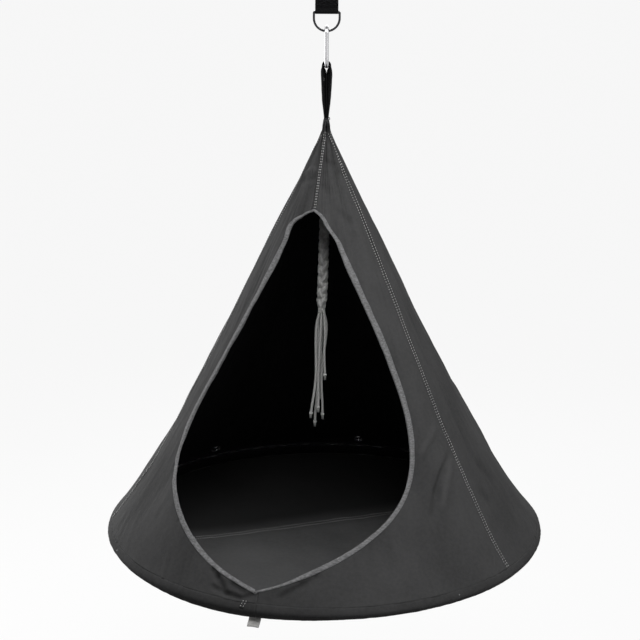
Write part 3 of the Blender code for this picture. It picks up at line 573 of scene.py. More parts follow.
def fold_height(angle, height):
    """How far the cloth stands off the smooth cone."""
    wrapped = (angle + math.pi) % math.tau - math.pi
    x, y = math.sin(angle), -math.cos(angle)
    girth = wrapped * cone_radius(height)
    near_tip = smooth_step(height, 0.72, 0.93)
    near_hem = smooth_step(0.15 - height, 0.0, 0.13)
    fan = wrinkle(x * 2.6, y * 2.6, height * 1.1 + 4)
    drag = wrinkle(x * 5 + height * 3, y * 5 - height * 2, height * 4 + 9)
    crumple = wrinkle(x * 16, y * 16, height * 11)
    fine = wrinkle(x * 34, y * 34, height * 24)
    lift = 0.0042 * fan + 0.0034 * drag + 0.0020 * crumple + 0.0008 * fine
    lift *= (1 - near_tip) * (1 - 0.6 * near_hem)
    patch = smooth_step(wrinkle(x * 3, y * 3, 20.0), -0.1, 0.35)
    ripple = wrinkle(girth / 0.011, height / 0.12, 30.0)
    lift += 0.0011 * ripple * near_hem * (0.25 + patch)
    pleats = math.cos(11 * angle + 1.2 * wrinkle(x, y, height * 6))
    lift += (0.0021 * pleats + 0.002 * crumple) * near_tip * smooth_step(0.955 - height, 0.0, 0.02)
    lift += seam_ridge(wrapped, height)
    if abs(wrapped) < 2.3:
        lift += crease_height(girth, height)
    return lift


def cloth_point(angle, height, out=0.0):
    """A point on the folded cloth, or off it by a distance."""
    base = around(angle, cone_radius(height), height + HOOP_Z)
    return base + outward(angle, height) * (fold_height(angle, height) + out)


samples = ((0.5, 0.5), (1.5, 0.1), (3, 0.9))
print("fold heights:", [round(fold_height(*sample) * 1000, 2) for sample in samples], "mm")

# %% [markdown]
# **The doorway's outline.** Seen from the front the doorway is a drop: pointed at the top, widest low down, and
# pointed again at the bottom. Three curves draw its right half, as the edge of the tape that binds it.

# %% The doorway's outline
BINDING_WIDTH = 0.0145


def outline_half():
    """Points down the right half of the tape's outer edge, (across, height)."""
    stretches = (
        (((0.0, 0.770), (0.028, 0.760), (0.050, 0.737), (0.063, 0.709)), 16),
        (((0.063, 0.709), (0.147, 0.522), (0.2740, 0.326), (0.2740, 0.2255)), 100),
        (((0.2740, 0.2255), (0.2740, 0.090), (0.050, 0.0430), (0.0, 0.027)), 84),
    )
    half = [Vector((0.0, 0.770))]
    for knots, count in stretches:
        half += interpolate_bezier(*map(Vector, knots), count)[1:]
    return half


def even_line(points, count):
    """The same line with evenly spaced points."""
    lengths = [0.0]
    for here, there in zip(points, points[1:]):
        lengths.append(lengths[-1] + (there - here).length)
    line, k = [], 0
    for i in range(count + 1):
        wanted = lengths[-1] * i / count
        while k < len(points) - 2 and lengths[k + 1] < wanted:
            k += 1
        line.append(points[k].lerp(points[k + 1], (wanted - lengths[k]) / (lengths[k + 1] - lengths[k])))
    return line


def line_length(points):
    return sum((there - here).length for here, there in zip(points, points[1:]))


DOOR_LINE = even_line(outline_half(), 260)
DOOR_LENGTH = line_length(DOOR_LINE)
print("half of the doorway's edge is", round(DOOR_LENGTH, 3), "m long")


def door_sway(height):
    """How far the doorway's middle lies to the right of the front seam. Both its ends pull to the left."""
    bow = 0.0065 * math.sin(math.pi * min(1.0, (height - 0.345) / 0.350))
    top = 0.0098 * math.exp(-(((height - 0.734) / 0.024) ** 2))
    low = 0.0115 * (1 - smooth_step(height, 0.065, 0.17))
    lowest = 0.0040 * (1 - smooth_step(height, 0.027, 0.06))
    return bow - top - low + lowest


def door_edge(share):
    """(point, inward step) on the right half of the outline, at a share of its length."""
    place = min(share, 0.99999) * (len(DOOR_LINE) - 1)
    i = int(place)
    point = DOOR_LINE[i].lerp(DOOR_LINE[i + 1], place - i)
    before = DOOR_LINE[max(i - 1, 0)]
    after = DOOR_LINE[min(i + 2, len(DOOR_LINE) - 1)]
    along = (after - before).normalized()
    inwards = Vector((along.y, -along.x))
    sideways = math.sqrt(max(0.05, 1 - (point.x / cone_radius(point.y)) ** 2))
    upward = cone_slope(point.y)[0]
    return point, inwards / math.hypot(inwards.x / sideways, inwards.y / upward)


def half_width(height):
    """Half the doorway's width at a height, or -1 above and below it."""
    best = -1.0
    for here, there in zip(DOOR_LINE, DOOR_LINE[1:]):
        if min(here.y, there.y) <= height <= max(here.y, there.y):
            share = (height - here.y) / ((there.y - here.y) or 1)
            best = max(best, here.x + (there.x - here.x) * share)
    return best


# %% [markdown]
# **The canopy.** Five curved panels are sewn into the cone. Each starts as a flat grid, fine enough for its
# folds, which is carried on to the folded cone between two seams. The two front ones lose the cells inside
# the doorway, and their rim is drawn on to one even line under the tape.

# %% Canopy panels
PANEL_COLUMNS = 150
PANEL_ROWS = 180
PANEL_FOOT = HEM_HEIGHT - 0.004
SLANT = 1.06
TAPE_BEND = 0.0045  # how far in from its edge the tape starts to roll
TAPE_BELOW = 0.0008  # how deep in the cloth the roll's centre lies


def panel_height(w):
    """Rows crowd towards the hem and the tip, where the folds are finest."""
    return PANEL_FOOT + (CANOPY_HEIGHT - PANEL_FOOT) * (w - 0.06 * math.sin(math.tau * w))


def cloth_at(across, height):
    """The (angle, height) of a place seen from the front."""
    return math.asin(max(-1.0, min(1.0, across / cone_radius(height)))), height


def tape_point(share, inset, out):
    """A point on the tape, at an inset from its outer edge. share runs down the right side from 0 to 1, and
    back up the left side to 2. Low down, the edge of the cloth rolls inwards and the tape with it."""
    side = 1 if share <= 1 else -1
    edge, inwards = door_edge(share if share <= 1 else 2 - share)
    opened = smooth_step(min(share, 2 - share), 0.0, 0.14)
    pinch = 0.30 * math.exp(-(((edge.y - 0.690) / 0.028) ** 2)) * (1 if side < 0 else 0.35)
    outer = 0.0006 + 0.0014 * opened
    inset = outer + inset * ((0.42 + 0.58 * opened) * (1 - pinch) - outer / BINDING_WIDTH)
    low = 1 - (smooth_step(edge.y, 0.040, 0.078) if side > 0 else smooth_step(edge.y, 0.045, 0.12))
    rolled = math.radians(72 if side > 0 else 50) * low
    if inset > TAPE_BEND:
        reach, rise = inset - TAPE_BEND, out + TAPE_BELOW
        inset = TAPE_BEND + reach * math.cos(rolled) + rise * math.sin(rolled)
        out = rise * math.cos(rolled) - reach * math.sin(rolled) - TAPE_BELOW
    wobble = 0.0006 * wrinkle(edge.x * 30, edge.y * 30, side * 5.0)
    point = edge + inwards * (inset + wobble)
    angle, height = cloth_at(side * max(0.0, point.x) + door_sway(point.y), point.y)
    return cloth_point(angle, height, out)


def door_keep(angle, height):
    """Whether the cloth is there: outside the doorway, or just under its tape."""
    if math.cos(angle) < 0:
        return True
    across = abs(math.sin(angle) * cone_radius(height) - door_sway(height))
    if across > 0.29 or height > 0.78 or across > half_width(height):
        return True
    return min((Vector((across, height)) - point).length for point in DOOR_LINE[::4]) < 0.007


def trim_to_doorway(shape):
    """Draws the ragged rim of a front panel on to one even line under the tape."""
    count = 1200
    rim = KDTree(count)
    for i in range(count):
        rim.insert(tape_point(2 * i / count, 0.0022, -0.0004), i)
    rim.balance()
    for corner in shape.verts:
        if corner.is_boundary:
            near, _, reach = rim.find(corner.co)
            if reach < 0.011:
                corner.co = near


def make_panel(number):
    first = PANEL_ANGLE * (number - 1)
    beside_door = number in (1, 5)

    def place(u, w):
        return cloth_point(first + PANEL_ANGLE * u, panel_height(w))

    def flat(u, w):
        return (u - 0.5) * PANEL_ANGLE * cone_radius(panel_height(w)), SLANT * w

    def keep(u, w):
        return door_keep(first + PANEL_ANGLE * (u + 0.5 / PANEL_COLUMNS), panel_height(w + 0.5 / PANEL_ROWS))

    shape = cloth_grid(PANEL_COLUMNS, PANEL_ROWS, place, flat, keep if beside_door else None)
    if beside_door:
        trim_to_doorway(shape)
    # Painted shade for the folds: each corner keeps how far it stands out of them, so that hollows paint
    # darker.
    painted_fold_shade = shape.verts.layers.float.new("painted_fold_shade")
    for corner in shape.verts:
        angle = math.atan2(corner.co.x, -corner.co.y)
        height = corner.co.z - HOOP_Z
        reach = 0.003 - 0.0014 * smooth_step(height, 0.80, 0.92)
        corner[painted_fold_shade] = smooth_step(fold_height(angle, height), -reach, reach)
    piece = keep_piece(shape, f"canopy_{number}", "tent", [canvas, inside_painted_shade], [f"panel_{number}"])
    area = sum(face.area for face in piece.data.polygons)
    thicken(piece, CANVAS, inner=1)
    return area


areas = [make_panel(number) for number in range(1, 6)]
print("panel areas:", [round(area, 3) for area in areas], "square metres")

# %% [markdown]
# **Seams.** Two panels are folded into each other and sewn down with two rows, which leaves a raised band. It
# is a narrow strip of canvas on the cone, with its own stitches. The front seam is cut through by the doorway.

# %% Seam bands
BAND_HALF = 0.0052


def seam_line(angle, low, high, side, lean, count):
    """A row of stitches up a seam, moved sideways by a distance, as (point, outward) pairs."""
    line = []
    for i in range(count + 1):
        height = low + (high - low) * i / count
        turned = angle + (side + lean * (1 - i / count)) / cone_radius(height)
        line.append((cloth_point(turned, height, 0.0010), outward(turned, height)))
    return line


def make_seam(name, angle, low, high, count, row=0.0034, lean=0.0):
    """A band between two heights, and its two rows of stitches. A lean carries its lower end sideways."""

    def place(u, w):
        height = low + (high - low) * w
        edge = abs(2 * u - 1) > 0.99
        side = (2 * u - 1) * min(BAND_HALF, 0.42 * cone_radius(height)) + lean * (1 - w)
        return cloth_point(angle + side / cone_radius(height), height, -0.0006 if edge else 0.0008)

    shape = cloth_grid(8, count, place, lambda u, w: (u * 2 * BAND_HALF, (high - low) * w))
    keep_piece(shape, name, "tent", [canvas])
    return [seam_line(angle, low, high, side, lean, count) for side in (-row, row)]


seam_rows = []
for number in range(1, 5):
    seam_rows += make_seam(f"seam_{number}", PANEL_ANGLE * number, 0.014, 0.925, 160)
seam_rows += make_seam("seam_front_upper", 0.0, 0.770, 0.925, 30, row=0.0016)
seam_rows += make_seam("seam_front_lower", -0.053, 0.003, 0.016, 6, lean=-0.0045)
stitch_piece("seam_stitches", "tent", seam_rows, 0.0060, 0.0034, 0.00074, pale_thread)

# %% [markdown]
# **The doorway's tape.** Tape is folded over the cut edge and sewn through both layers. Its section is carried
# round the outline: over the outside, round the edge and back along the inside.


# %% The doorway's tape
BINDING_SECTION = (
    # (inset from the outer edge, height off the cloth's outer face)
    (0.0000, -0.0002), (0.0003, 0.0011), (0.0016, 0.0014), (0.0050, 0.0015), (0.0090, 0.0016),
    (0.0125, 0.0017), (0.0140, 0.0011), (0.0145, -0.0008), (0.0140, -0.0027), (0.0125, -0.0033),
    (0.0090, -0.0032), (0.0050, -0.0031), (0.0016, -0.0030), (0.0003, -0.0027), (0.0000, -0.0014),
)


def make_binding():
    last = len(BINDING_SECTION) - 1

    def place(u, w):
        inset, out = BINDING_SECTION[round(w * last)]
        return tape_point(2 * u, inset, out)

    shape = cloth_grid(520, last, place, lambda u, w: (2 * u * DOOR_LENGTH, w * 0.031))
    weld(shape, 0.00005, flip=True)
    keep_piece(shape, "doorway_tape", "tent", [melange], ["door_binding"])


make_binding()
line = [tape_point(i / 300, 0.0022, 0.0015) for i in range(601)]
middle = Vector((0, 0, HOOP_Z + 0.2))
rows = [[(point, (point - middle).normalized()) for point in line]]
stitch_piece("tape_stitches", "tent", rows, 0.0046, 0.0032, 0.00035, melange)

# %% [markdown]
# **The hoop's cover.** The hem is a sleeve that is rolled round the steel hoop and sewn up inside. It is eased
# round a ring, so it shows small gathers. A short opening underneath at the back lets the hoop's parts in.

# %% The hoop's cover
COVER_START = math.radians(34)
COVER_TURN = math.radians(272)
COVER_GIRTH = 0.075
RIM = math.tau * HOOP_RADIUS


def cover_point(angle, turn, out=0.0):
    """A point on the rolled cloth. turn runs from the outside, under the hoop and up inside."""
    roll = COVER_START - turn * COVER_TURN
    gather = wrinkle(angle * 42, turn * 2.0, 50.0)
    broad = wrinkle(math.sin(angle) * 6, math.cos(angle) * 6, turn + 60)
    radius = SLEEVE_RADIUS + out + 0.00055 * gather + 0.0004 * broad
    from_middle = (angle + 0.17 + math.pi) % math.tau - math.pi
    sag = 0.008 * math.exp(-((from_middle / 0.44) ** 2)) * max(0.0, -math.sin(roll))
    height = HOOP_Z + radius * math.sin(roll) - sag
    place = around(angle, HOOP_RADIUS + radius * math.cos(roll), height)
    join = smooth_step(0.12 - turn, 0.0, 0.12)
    return place.lerp(cloth_point(angle, 0.0145, -0.0002), join)


def make_cover():
    columns = 900

    def place(u, w):
        return cover_point(u * math.tau, w)

    def keep(u, w):
        """Leaves the opening at the back."""
        return abs(u - 0.5) * RIM >= 0.054 or not 0.33 < w < 0.60

    shape = cloth_grid(columns, 20, place, lambda u, w: (u * RIM, w * COVER_GIRTH), keep)
    weld(shape, 0.00002, flip=True)
    flat_map = shape.loops.layers.uv["metres"]
    for face in shape.faces:
        # The part rolled inside the tent takes the painted shade of the inner face.
        face.material_index = 1 if face.loops[0][flat_map].uv.y > 0.6 * COVER_GIRTH else 0
    piece = keep_piece(shape, "hoop_cover", "tent", [canvas, inside_painted_shade], ["hoop_sleeve"])
    thicken(piece, CANVAS, inner=1)


make_cover()
rows = []
for turn in (0.165, 0.93):
    line = []
    for i in range(721):
        angle = math.tau * i / 720
        point = cover_point(angle, turn, 0.0001)
        line.append((point, (point - around(angle, HOOP_RADIUS, HOOP_Z)).normalized()))
    rows.append(line)
stitch_piece("hem_stitches", "tent", rows, 0.0055, 0.0036, 0.0004, dark_thread)

# %% [markdown]
# **The hoop.** Four bent steel tubes plug into each other inside the cover. They hardly show, so the plain
# solids stay as they are, with a tube's finish.

# %% The hoop
for name, node in frame["nodes"].items():
    if name.startswith("hoop_s") and name != "hoop_sleeve":
        finish_plain(node, hoop_steel)
print("the hoop's tubes have their steel")

# %% [markdown]
# **The floor.** Two pieces of the same canvas are sewn together a little behind the middle and hung from the
# cover. The cloth sags a little and carries soft wrinkles. Each piece starts as a grid, one side of which lies
# along the seam while the other three go round the edge.

# %% The floor
FLOOR_EDGE = -0.0112
FLOOR_SAG = 0.018
FLOOR_REACH = 0.4758
FLOOR_SEAM = math.radians(36)
SEAM_BOW = 0.062


def floor_point(x, y, out=0.0):
    """A point on the floor cloth, from the seam's own directions: along it and across it."""
    share = min(1.0, math.hypot(x, y) / FLOOR_REACH)
    folds = 0.005 * wrinkle(x * 5, y * 5, 70.0) + 0.0026 * wrinkle(x * 17 + y * 6, y * 11, 80.0)
    height = FLOOR_EDGE - FLOOR_SAG * (1 - share * share) + folds * (1 - share**4)
    return Matrix.Rotation(FLOOR_SEAM, 3, "Z") @ Vector((x, y, height + out + HOOP_Z))


def seam_wander(x):
    """How far behind the middle the two parts of the floor meet."""
    bow = 1 - min(1.0, abs(x) / FLOOR_REACH) ** 4
    return bow * (SEAM_BOW + 0.003 * wrinkle(x * 9, 0.0, 33.0))


def make_floor(name, side, node):
    """One part of the floor. Its side is 1 behind the seam and -1 in front of it."""
    columns, rows = ((170, 85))

    def spread(u, w):
        swing = math.pi * u
        x = -FLOOR_REACH * math.cos(swing)
        return x, seam_wander(x) * (1 - w) + side * w * FLOOR_REACH * math.sin(swing)

    def place(u, w):
        return floor_point(*spread(u, w))

    shape = cloth_grid(columns, rows, place, spread)
    weld(shape, 0.00002, flip=side < 0)
    piece = keep_piece(shape, name, "tent", [floor_canvas_painted_light, canvas], [node])
    thicken(piece, CANVAS, inner=1, offset=0.0)


make_floor("floor_back", 1, "floor_right")
make_floor("floor_front", -1, "floor_left")


def seam_spread(u, w):
    """A place on the band over the seam, along it and across it."""
    x = (2 * w - 1) * (FLOOR_REACH - 0.002)
    return x, (2 * u - 1) * 0.008 + seam_wander(x)


def seam_place(u, w):
    edge = abs(2 * u - 1) > 0.99
    return floor_point(*seam_spread(u, w), 0.0004 if edge else 0.0017)


band = cloth_grid(8, 160, seam_place, seam_spread)
keep_piece(band, "floor_seam", "tent", [floor_canvas_painted_light])
steps = [(2 * i / 160 - 1) * (FLOOR_REACH - 0.006) for i in range(161)]
rows = [
    [(floor_point(x, side + seam_wander(x), 0.0018), Vector((0, 0, 1))) for x in steps]
    for side in (-0.0058, 0.0058)
]
stitch_piece("floor_stitches", "tent", rows, 0.0056, 0.0032, 0.0005, pale_thread)

# %% [markdown]
# **Eyelets.** Two metal eyelets are clenched through the back of the cone, low down, for air and for a cord.
# Each is turned: the section of its rolled rim is spun round its own middle, then set square to the cloth.

# %% Eyelets
EYELET_HEIGHT = 0.032
EYELET_SECTION = (
    # (radius, height off the cloth)
    (0.0055, -0.0022), (0.0068, -0.0030), (0.0092, -0.0031), (0.0112, -0.0026), (0.0120, -0.0020),
    (0.0112, -0.0018), (0.0066, -0.0018), (0.0066, 0.0002), (0.0112, 0.0002), (0.0120, 0.0005),
    (0.0112, 0.0011), (0.0092, 0.0017), (0.0068, 0.0015), (0.0055, 0.0006),
)


def make_eyelet(name, degrees, node):
    """Spins the section, with its height along the cloth's normal."""
    shape = bmesh.new()
    ring = [shape.verts.new((radius, 0, height)) for radius, height in EYELET_SECTION]
    edges = [shape.edges.new((a, b)) for a, b in zip(ring, ring[1:] + ring[:1])]
    bmesh.ops.spin(
        shape, geom=ring + edges, axis=(0, 0, 1), cent=(0, 0, 0), angle=math.tau, steps=40, use_merge=True
    )
    bmesh.ops.recalc_face_normals(shape, faces=shape.faces)
    spot = math.radians(degrees), EYELET_HEIGHT
    bmesh.ops.transform(shape, matrix=aimed(cloth_point(*spot), outward(*spot)), verts=shape.verts)
    keep_piece(shape, name, "tent", [eyelet_steel], [node])


make_eyelet("eyelet_rim_right", 186.6, "eyelet_right")
make_eyelet("eyelet_rim_left", 231.6, "eyelet_left")
print("two eyelets")

# %% [markdown]
# **The hem's tab.** A short pale ribbon is folded double and caught in the seam under the front of the hem. It
# is blank here. Its two layers part a little at the fold.


# %% The hem's tab
def make_tab():
    width, length = 0.026, 0.0215
    top = HOOP_Z - SLEEVE_RADIUS - 0.004

    def place(u, w):
        along = (w * 2 if w < 0.5 else 2 - 2 * w) * length
        belly = 0.0016 * math.sin(math.pi * min(1.0, along / length)) + 0.0004
        side = -1 if w < 0.5 else 1
        bow = 0.0012 * math.sin(math.pi * u) - 0.011 * (along / length) ** 1.4
        skew = -0.004 - 0.003 * along / length
        return Vector(((u - 0.5) * width + skew, -HOOP_RADIUS + side * belly + bow, top - along))

    shape = cloth_grid(16, 40, place, lambda u, w: (u * width, w * 2 * length))
    piece = keep_piece(shape, "folded_tab", "tent", [pale_tape], ["hem_tab"])
    thicken(piece, 0.0004, offset=0.0)
    front = Vector((0, -1, 0))
    row = [(place(0.06 + 0.88 * i / 20, 0.06) + 0.0003 * front, front) for i in range(21)]
    stitch_piece("tab_stitches", "tent", [row], 0.0026, 0.0018, 0.0003, pale_thread)


make_tab()

# %% [markdown]
# **The hanging strap.** A strip of webbing runs over the beam, down, round the bar of the ring and back up. The
# two layers are sewn together in a crossed box. The strap and the ring below it face the camera, so their
# pieces are made in their own plane and turned by the camera's 17 degrees.

# %% The hanging strap
STRAP_WIDTH = 0.050
STRAP_THICKNESS = 0.002
STRAP_DROP = 0.1124
STRAP_EYE = 0.020
STRAP_STEPS = 360
SEWN_FROM = -0.075
BOX_TOP, BOX_MIDDLE, BOX_FOOT = -0.079, -0.088, -0.097
RING_WIRE = 0.005
PLAY = 0.0003  # the gap between parts that move


def facing(x, y, z):
    """A place in the hanging parts' own directions: across the view, away from it, and up."""
    return Vector((x * math.cos(TURN) - y * math.sin(TURN), x * math.sin(TURN) + y * math.cos(TURN), z))


def arc(centre, radius, start, end, count):
    """Points on an arc in a plane, angles in degrees."""
    angles = [math.radians(start + (end - start) * i / count) for i in range(count + 1)]
    return [Vector((centre[0] + radius * math.cos(a), centre[1] + radius * math.sin(a))) for a in angles]


def strap_path():
    """The strap's middle line, seen from its edge: (towards the view, up), a closed line."""
    layer = (STRAP_THICKNESS + PLAY) / 2
    fold = RING_WIRE / 2 + PLAY + STRAP_THICKNESS / 2
    path = arc((0, -STRAP_EYE), STRAP_EYE + STRAP_THICKNESS / 2, -21.6, 201.6, 40)
    path += [Vector((-layer, SEWN_FROM)), Vector((-layer, 2 * fold - STRAP_DROP))]
    path += arc((0, -STRAP_DROP), fold, 170, 370, 24)
    path += [Vector((layer, 2 * fold - STRAP_DROP)), Vector((layer, SEWN_FROM))]
    return even_line(path + path[:1], STRAP_STEPS)


STRAP_PATH = strap_path()


def strap_point(u, w):
    """u runs along the strap, w across it from 0 to 1."""
    place = u * STRAP_STEPS
    i = min(int(place), STRAP_STEPS - 1)
    here = STRAP_PATH[i].lerp(STRAP_PATH[i + 1], place - i)
    return facing((w - 0.5) * STRAP_WIDTH + 0.0003 * wrinkle(u * 60, w * 2, 90.0), *here)


def make_strap():
    length = line_length(STRAP_PATH)
    shape = cloth_grid(STRAP_STEPS, 20, strap_point, lambda u, w: (u * length, (w - 0.5) * STRAP_WIDTH))
    weld(shape, 0.00001)
    piece = keep_piece(shape, "strap_webbing", "strap", [webbing], ["hanging_strap"])
    thicken(piece, STRAP_THICKNESS, offset=0.0)
    rim = piece.modifiers.new("Selvage", "BEVEL")
    rim.width = 0.0005
    rim.segments = 2
    rim.limit_method = "ANGLE"
    return length


print("strap length:", round(make_strap(), 3), "m")
reach = STRAP_WIDTH * 0.42
box = [((-reach, z), (reach, z)) for z in (BOX_TOP, BOX_MIDDLE, BOX_FOOT)]
for x in (-reach, reach):
    box += [((x, BOX_TOP), (x, BOX_FOOT)), ((-x, BOX_TOP), (x, BOX_FOOT))]
rows = []
for side in (-1, 1):
    depth = side * (1.5 * STRAP_THICKNESS + PLAY + 0.0002)
    rows += [[(facing(x, depth, z), facing(0, side, 0)) for x, z in ends] for ends in box]
stitch_piece("strap_stitches", "strap", rows, 0.0030, 0.0022, 0.0004, dark_thread)

# %% [markdown]
# **Wire and cords.** The ring and the hook are bent from round wire, and the rope is made of cords. A curve
# with a round bevel would do for wire. A cord needs a map for its twist, so a flat grid is rolled round a line
# instead: along the cord in one direction, round it in the other. Wire is made in the same way.


# %% Wire and cords
def smooth_line(points, count):
    """Evenly spaced points on a smooth curve through the given ones."""
    guides = [Vector(point) for point in points]
    ends = [2 * guides[0] - guides[1]] + guides + [2 * guides[-1] - guides[-2]]
    fine = [guides[0]]
    for before, here, there, after in zip(ends, ends[1:], ends[2:], ends[3:]):
        handles = here + (there - before) / 6, there - (after - here) / 6
        fine += interpolate_bezier(here, *handles, there, 24)[1:]
    return even_line(fine, count)


def sections(points, closed=False):
    """At each point of a line, two directions square to it that turn as little as possible."""
    lean, found = Vector((0.31, 0.95, 0.05)), []
    last = len(points) - 1
    for i, point in enumerate(points):
        before = points[i - 1] if i else (points[-2] if closed else points[0])
        after = points[i + 1] if i < last else (points[1] if closed else points[-1])
        along = (after - before).normalized()
        side = along.cross(lean).normalized()
        lean = side.cross(along).normalized()
        found.append((point, side, lean))
    return found


def close_tube(shape, closed=False):
    """Welds a rolled grid along its length, and fills its ends where they don't meet."""
    weld(shape, 1e-6)
    if not closed:
        rims = [edge for edge in shape.edges if edge.is_boundary]
        bmesh.ops.holes_fill(shape, edges=rims, sides=0)
    bmesh.ops.recalc_face_normals(shape, faces=shape.faces)
    return shape


def roll_cord(points, radius, sides=12, closed=False):
    """A tube round a line of points. Its radius is a number, or a function of the share of the way."""
    frames = sections(points, closed)
    steps = len(points) - 1
    length = line_length(points)

    def place(u, w):
        i = round(u * steps)
        point, side, up = frames[i]
        turned = math.tau * w
        reach = radius(i / steps) if callable(radius) else radius
        return point + (side * math.cos(turned) + up * math.sin(turned)) * reach

    return close_tube(cloth_grid(steps, sides, place, lambda u, w: (u * length, w)), closed)


def coil(middle, across, away, fall, turns, steps):
    """Places wound round an upright line, down from its middle. steps is how many make one turn."""
    places = []
    for i in range(turns * steps + 1):
        turned = math.tau * i / steps
        shift = across * math.cos(turned), away * math.sin(turned), -fall * i / (turns * steps)
        places.append([start + step for start, step in zip(middle, shift)])
    return places


def cut_away(shape, cutters):
    """The shape less its cutters, which are closed bmeshes."""
    made = []
    for part in (shape, *cutters):
        mesh = bpy.data.meshes.new("blank")
        part.to_mesh(mesh)
        part.free()
        made.append(bpy.data.objects.new("blank", mesh))
        scene.collection.objects.link(made[-1])
    for cutter in made[1:]:
        cut = made[0].modifiers.new("Cut", "BOOLEAN")
        cut.object = cutter
        cut.solver = "EXACT"
    graph = bpy.context.evaluated_depsgraph_get()
    result = bmesh.new()
    result.from_mesh(bpy.data.meshes.new_from_object(made[0].evaluated_get(graph)))
    for part in made:
        bpy.data.objects.remove(part)
    return result


def hard_edges(piece):
    """Keeps the cut edges of a smooth piece sharp."""
    piece.data.set_sharp_from_angle(angle=math.radians(32))


# %% [markdown]
# **The ring.** A D of five millimetre wire hangs by its straight bar in the strap's fold. Its bow carries the
# hook. A slight swelling in the bar is the weld that closes it.


# %% The ring
def make_ring():
    inner_width, inner_height, corner = 0.0505, 0.0367, 0.0032
    half = (inner_width + RING_WIRE) / 2
    outline = arc((half - corner, -corner), corner, 90, 0, 10)
    outline += arc((0, half - inner_height - RING_WIRE), half, 0, -180, 60)
    outline += arc((corner - half, -corner), corner, 180, 90, 10)
    outline += [Vector((x, 0.0)) for x in (-0.018, -0.003, -0.0015, 0.0, 0.0015, 0.003, 0.018)]
    outline += outline[:1]
    points = [facing(p.x, 0, p.y - STRAP_DROP) for p in outline]
    welded = len(points) - 5

    def radius(share):
        i = round(share * (len(points) - 1))
        return RING_WIRE / 2 + (0.0002 if i == welded else 0.0)

    shape = roll_cord(points, radius, sides=24, closed=True)
    keep_piece(shape, "ring_wire", "ring", [ring_steel], ["d_ring"])


make_ring()
print("the ring is made")

# %% [markdown]
# **The spring hook.** Its body is one bent wire, narrow at the top and wide at the bottom, with its gate on the
# far side. At the hinge and at the nose the wire is flattened into a tongue. Two blocks cut each tongue, and a
# bore takes the gate's rivet.

# %% The spring hook's body
HOOK_WIRE = 0.0095
HOOK_LENGTH = 0.093
HOOK_TOP = -0.1541
TOP_BEND = 0.0118
LOW_BEND = 0.0195
HINGE_LENGTH = 0.013
NOSE_LENGTH = 0.008
GATE_RADIUS = 0.00425
TONGUE = 0.0034  # how thick the wire is left at the hinge and the nose
top_line = (RING_WIRE + HOOK_WIRE) / 2 + PLAY
high_bend = Vector((0.0, top_line - TOP_BEND))
low_bend = Vector((0.0, top_line - (HOOK_LENGTH - HOOK_WIRE) + LOW_BEND))
lean = math.asin((LOW_BEND - TOP_BEND) / (high_bend.y - low_bend.y))
tilt = Vector((math.cos(lean), math.sin(lean)))
hinge_start = high_bend + tilt * TOP_BEND
nose_start = low_bend + tilt * LOW_BEND
down = (nose_start - hinge_start).normalized()
hinge_end = hinge_start + down * HINGE_LENGTH
nose_end = nose_start - down * NOSE_LENGTH
pivot = hinge_start + down * (HINGE_LENGTH - GATE_RADIUS)


def in_hook(point, x=0.0):
    """A point of the hook's own plane, (away from the view, up), in its place."""
    return facing(x, point.x, point.y + HOOK_TOP)


def block(point, way, low, high):
    """A closed box that starts at a point and runs along a direction in the hook's plane."""
    run = (in_hook(point + way) - in_hook(point)).normalized()
    across = facing(1, 0, 0)
    turned = Matrix((across, run.cross(across), run)).transposed().to_4x4()
    size = [b - a for a, b in zip(low, high)]
    middle = Vector([(a + b) / 2 for a, b in zip(low, high)])
    shape = bmesh.new()
    place = Matrix.Translation(in_hook(point)) @ turned @ Matrix.Translation(middle)
    bmesh.ops.create_cube(shape, size=1, matrix=place @ Matrix.Diagonal((*size, 1)))
    return shape


def rod(start, end, radius, sides=32):
    """A closed cylinder between two places."""
    shape = bmesh.new()
    place = aimed((start + end) / 2, end - start)
    size = {"radius1": radius, "radius2": radius, "depth": (end - start).length}
    bmesh.ops.create_cone(shape, cap_ends=True, segments=sides, matrix=place, **size)
    return shape


def bore(radius):
    """A cutter along the rivet's line."""
    return rod(in_hook(pivot, -0.009), in_hook(pivot, 0.009), radius, 16)


def cheeks(point, way):
    """The two blocks that leave a tongue."""
    reach = HOOK_WIRE
    sides = ((TONGUE / 2, reach), (-reach, -TONGUE / 2))
    return [block(point, way, (near, -reach, 0), (far, reach, 3 * reach)) for near, far in sides]


bend_degrees = math.degrees(lean)
route = [hinge_end, hinge_start + down * 0.006, hinge_start + down * 0.0005]
route += arc(high_bend, TOP_BEND, bend_degrees, 180 - bend_degrees, 28)
route += arc(low_bend, LOW_BEND, 180 - bend_degrees, 360 + bend_degrees, 48)
route += [nose_start - down * 0.0005, nose_start - down * 0.004, nose_end]
wire = roll_cord([in_hook(point) for point in route], HOOK_WIRE / 2, sides=28)
shoulder = GATE_RADIUS * (1 + math.sqrt(2)) + PLAY
cutters = [*cheeks(hinge_end - down * shoulder, down), *cheeks(nose_end + down * 0.0055, -down), bore(0.0016)]
body = keep_piece(cut_away(wire, cutters), "hook_wire", "hook", [hook_steel], ["hook_body"])
hard_edges(body)
print("hook body:", len(body.data.polygons), "faces")

# %% [markdown]
# **The gate.** A straight rod closes the hook. It is forked at both ends, over the hinge's tongue and over the
# nose's, and turns on a rivet with domed heads. A small coil inside pushes it shut.

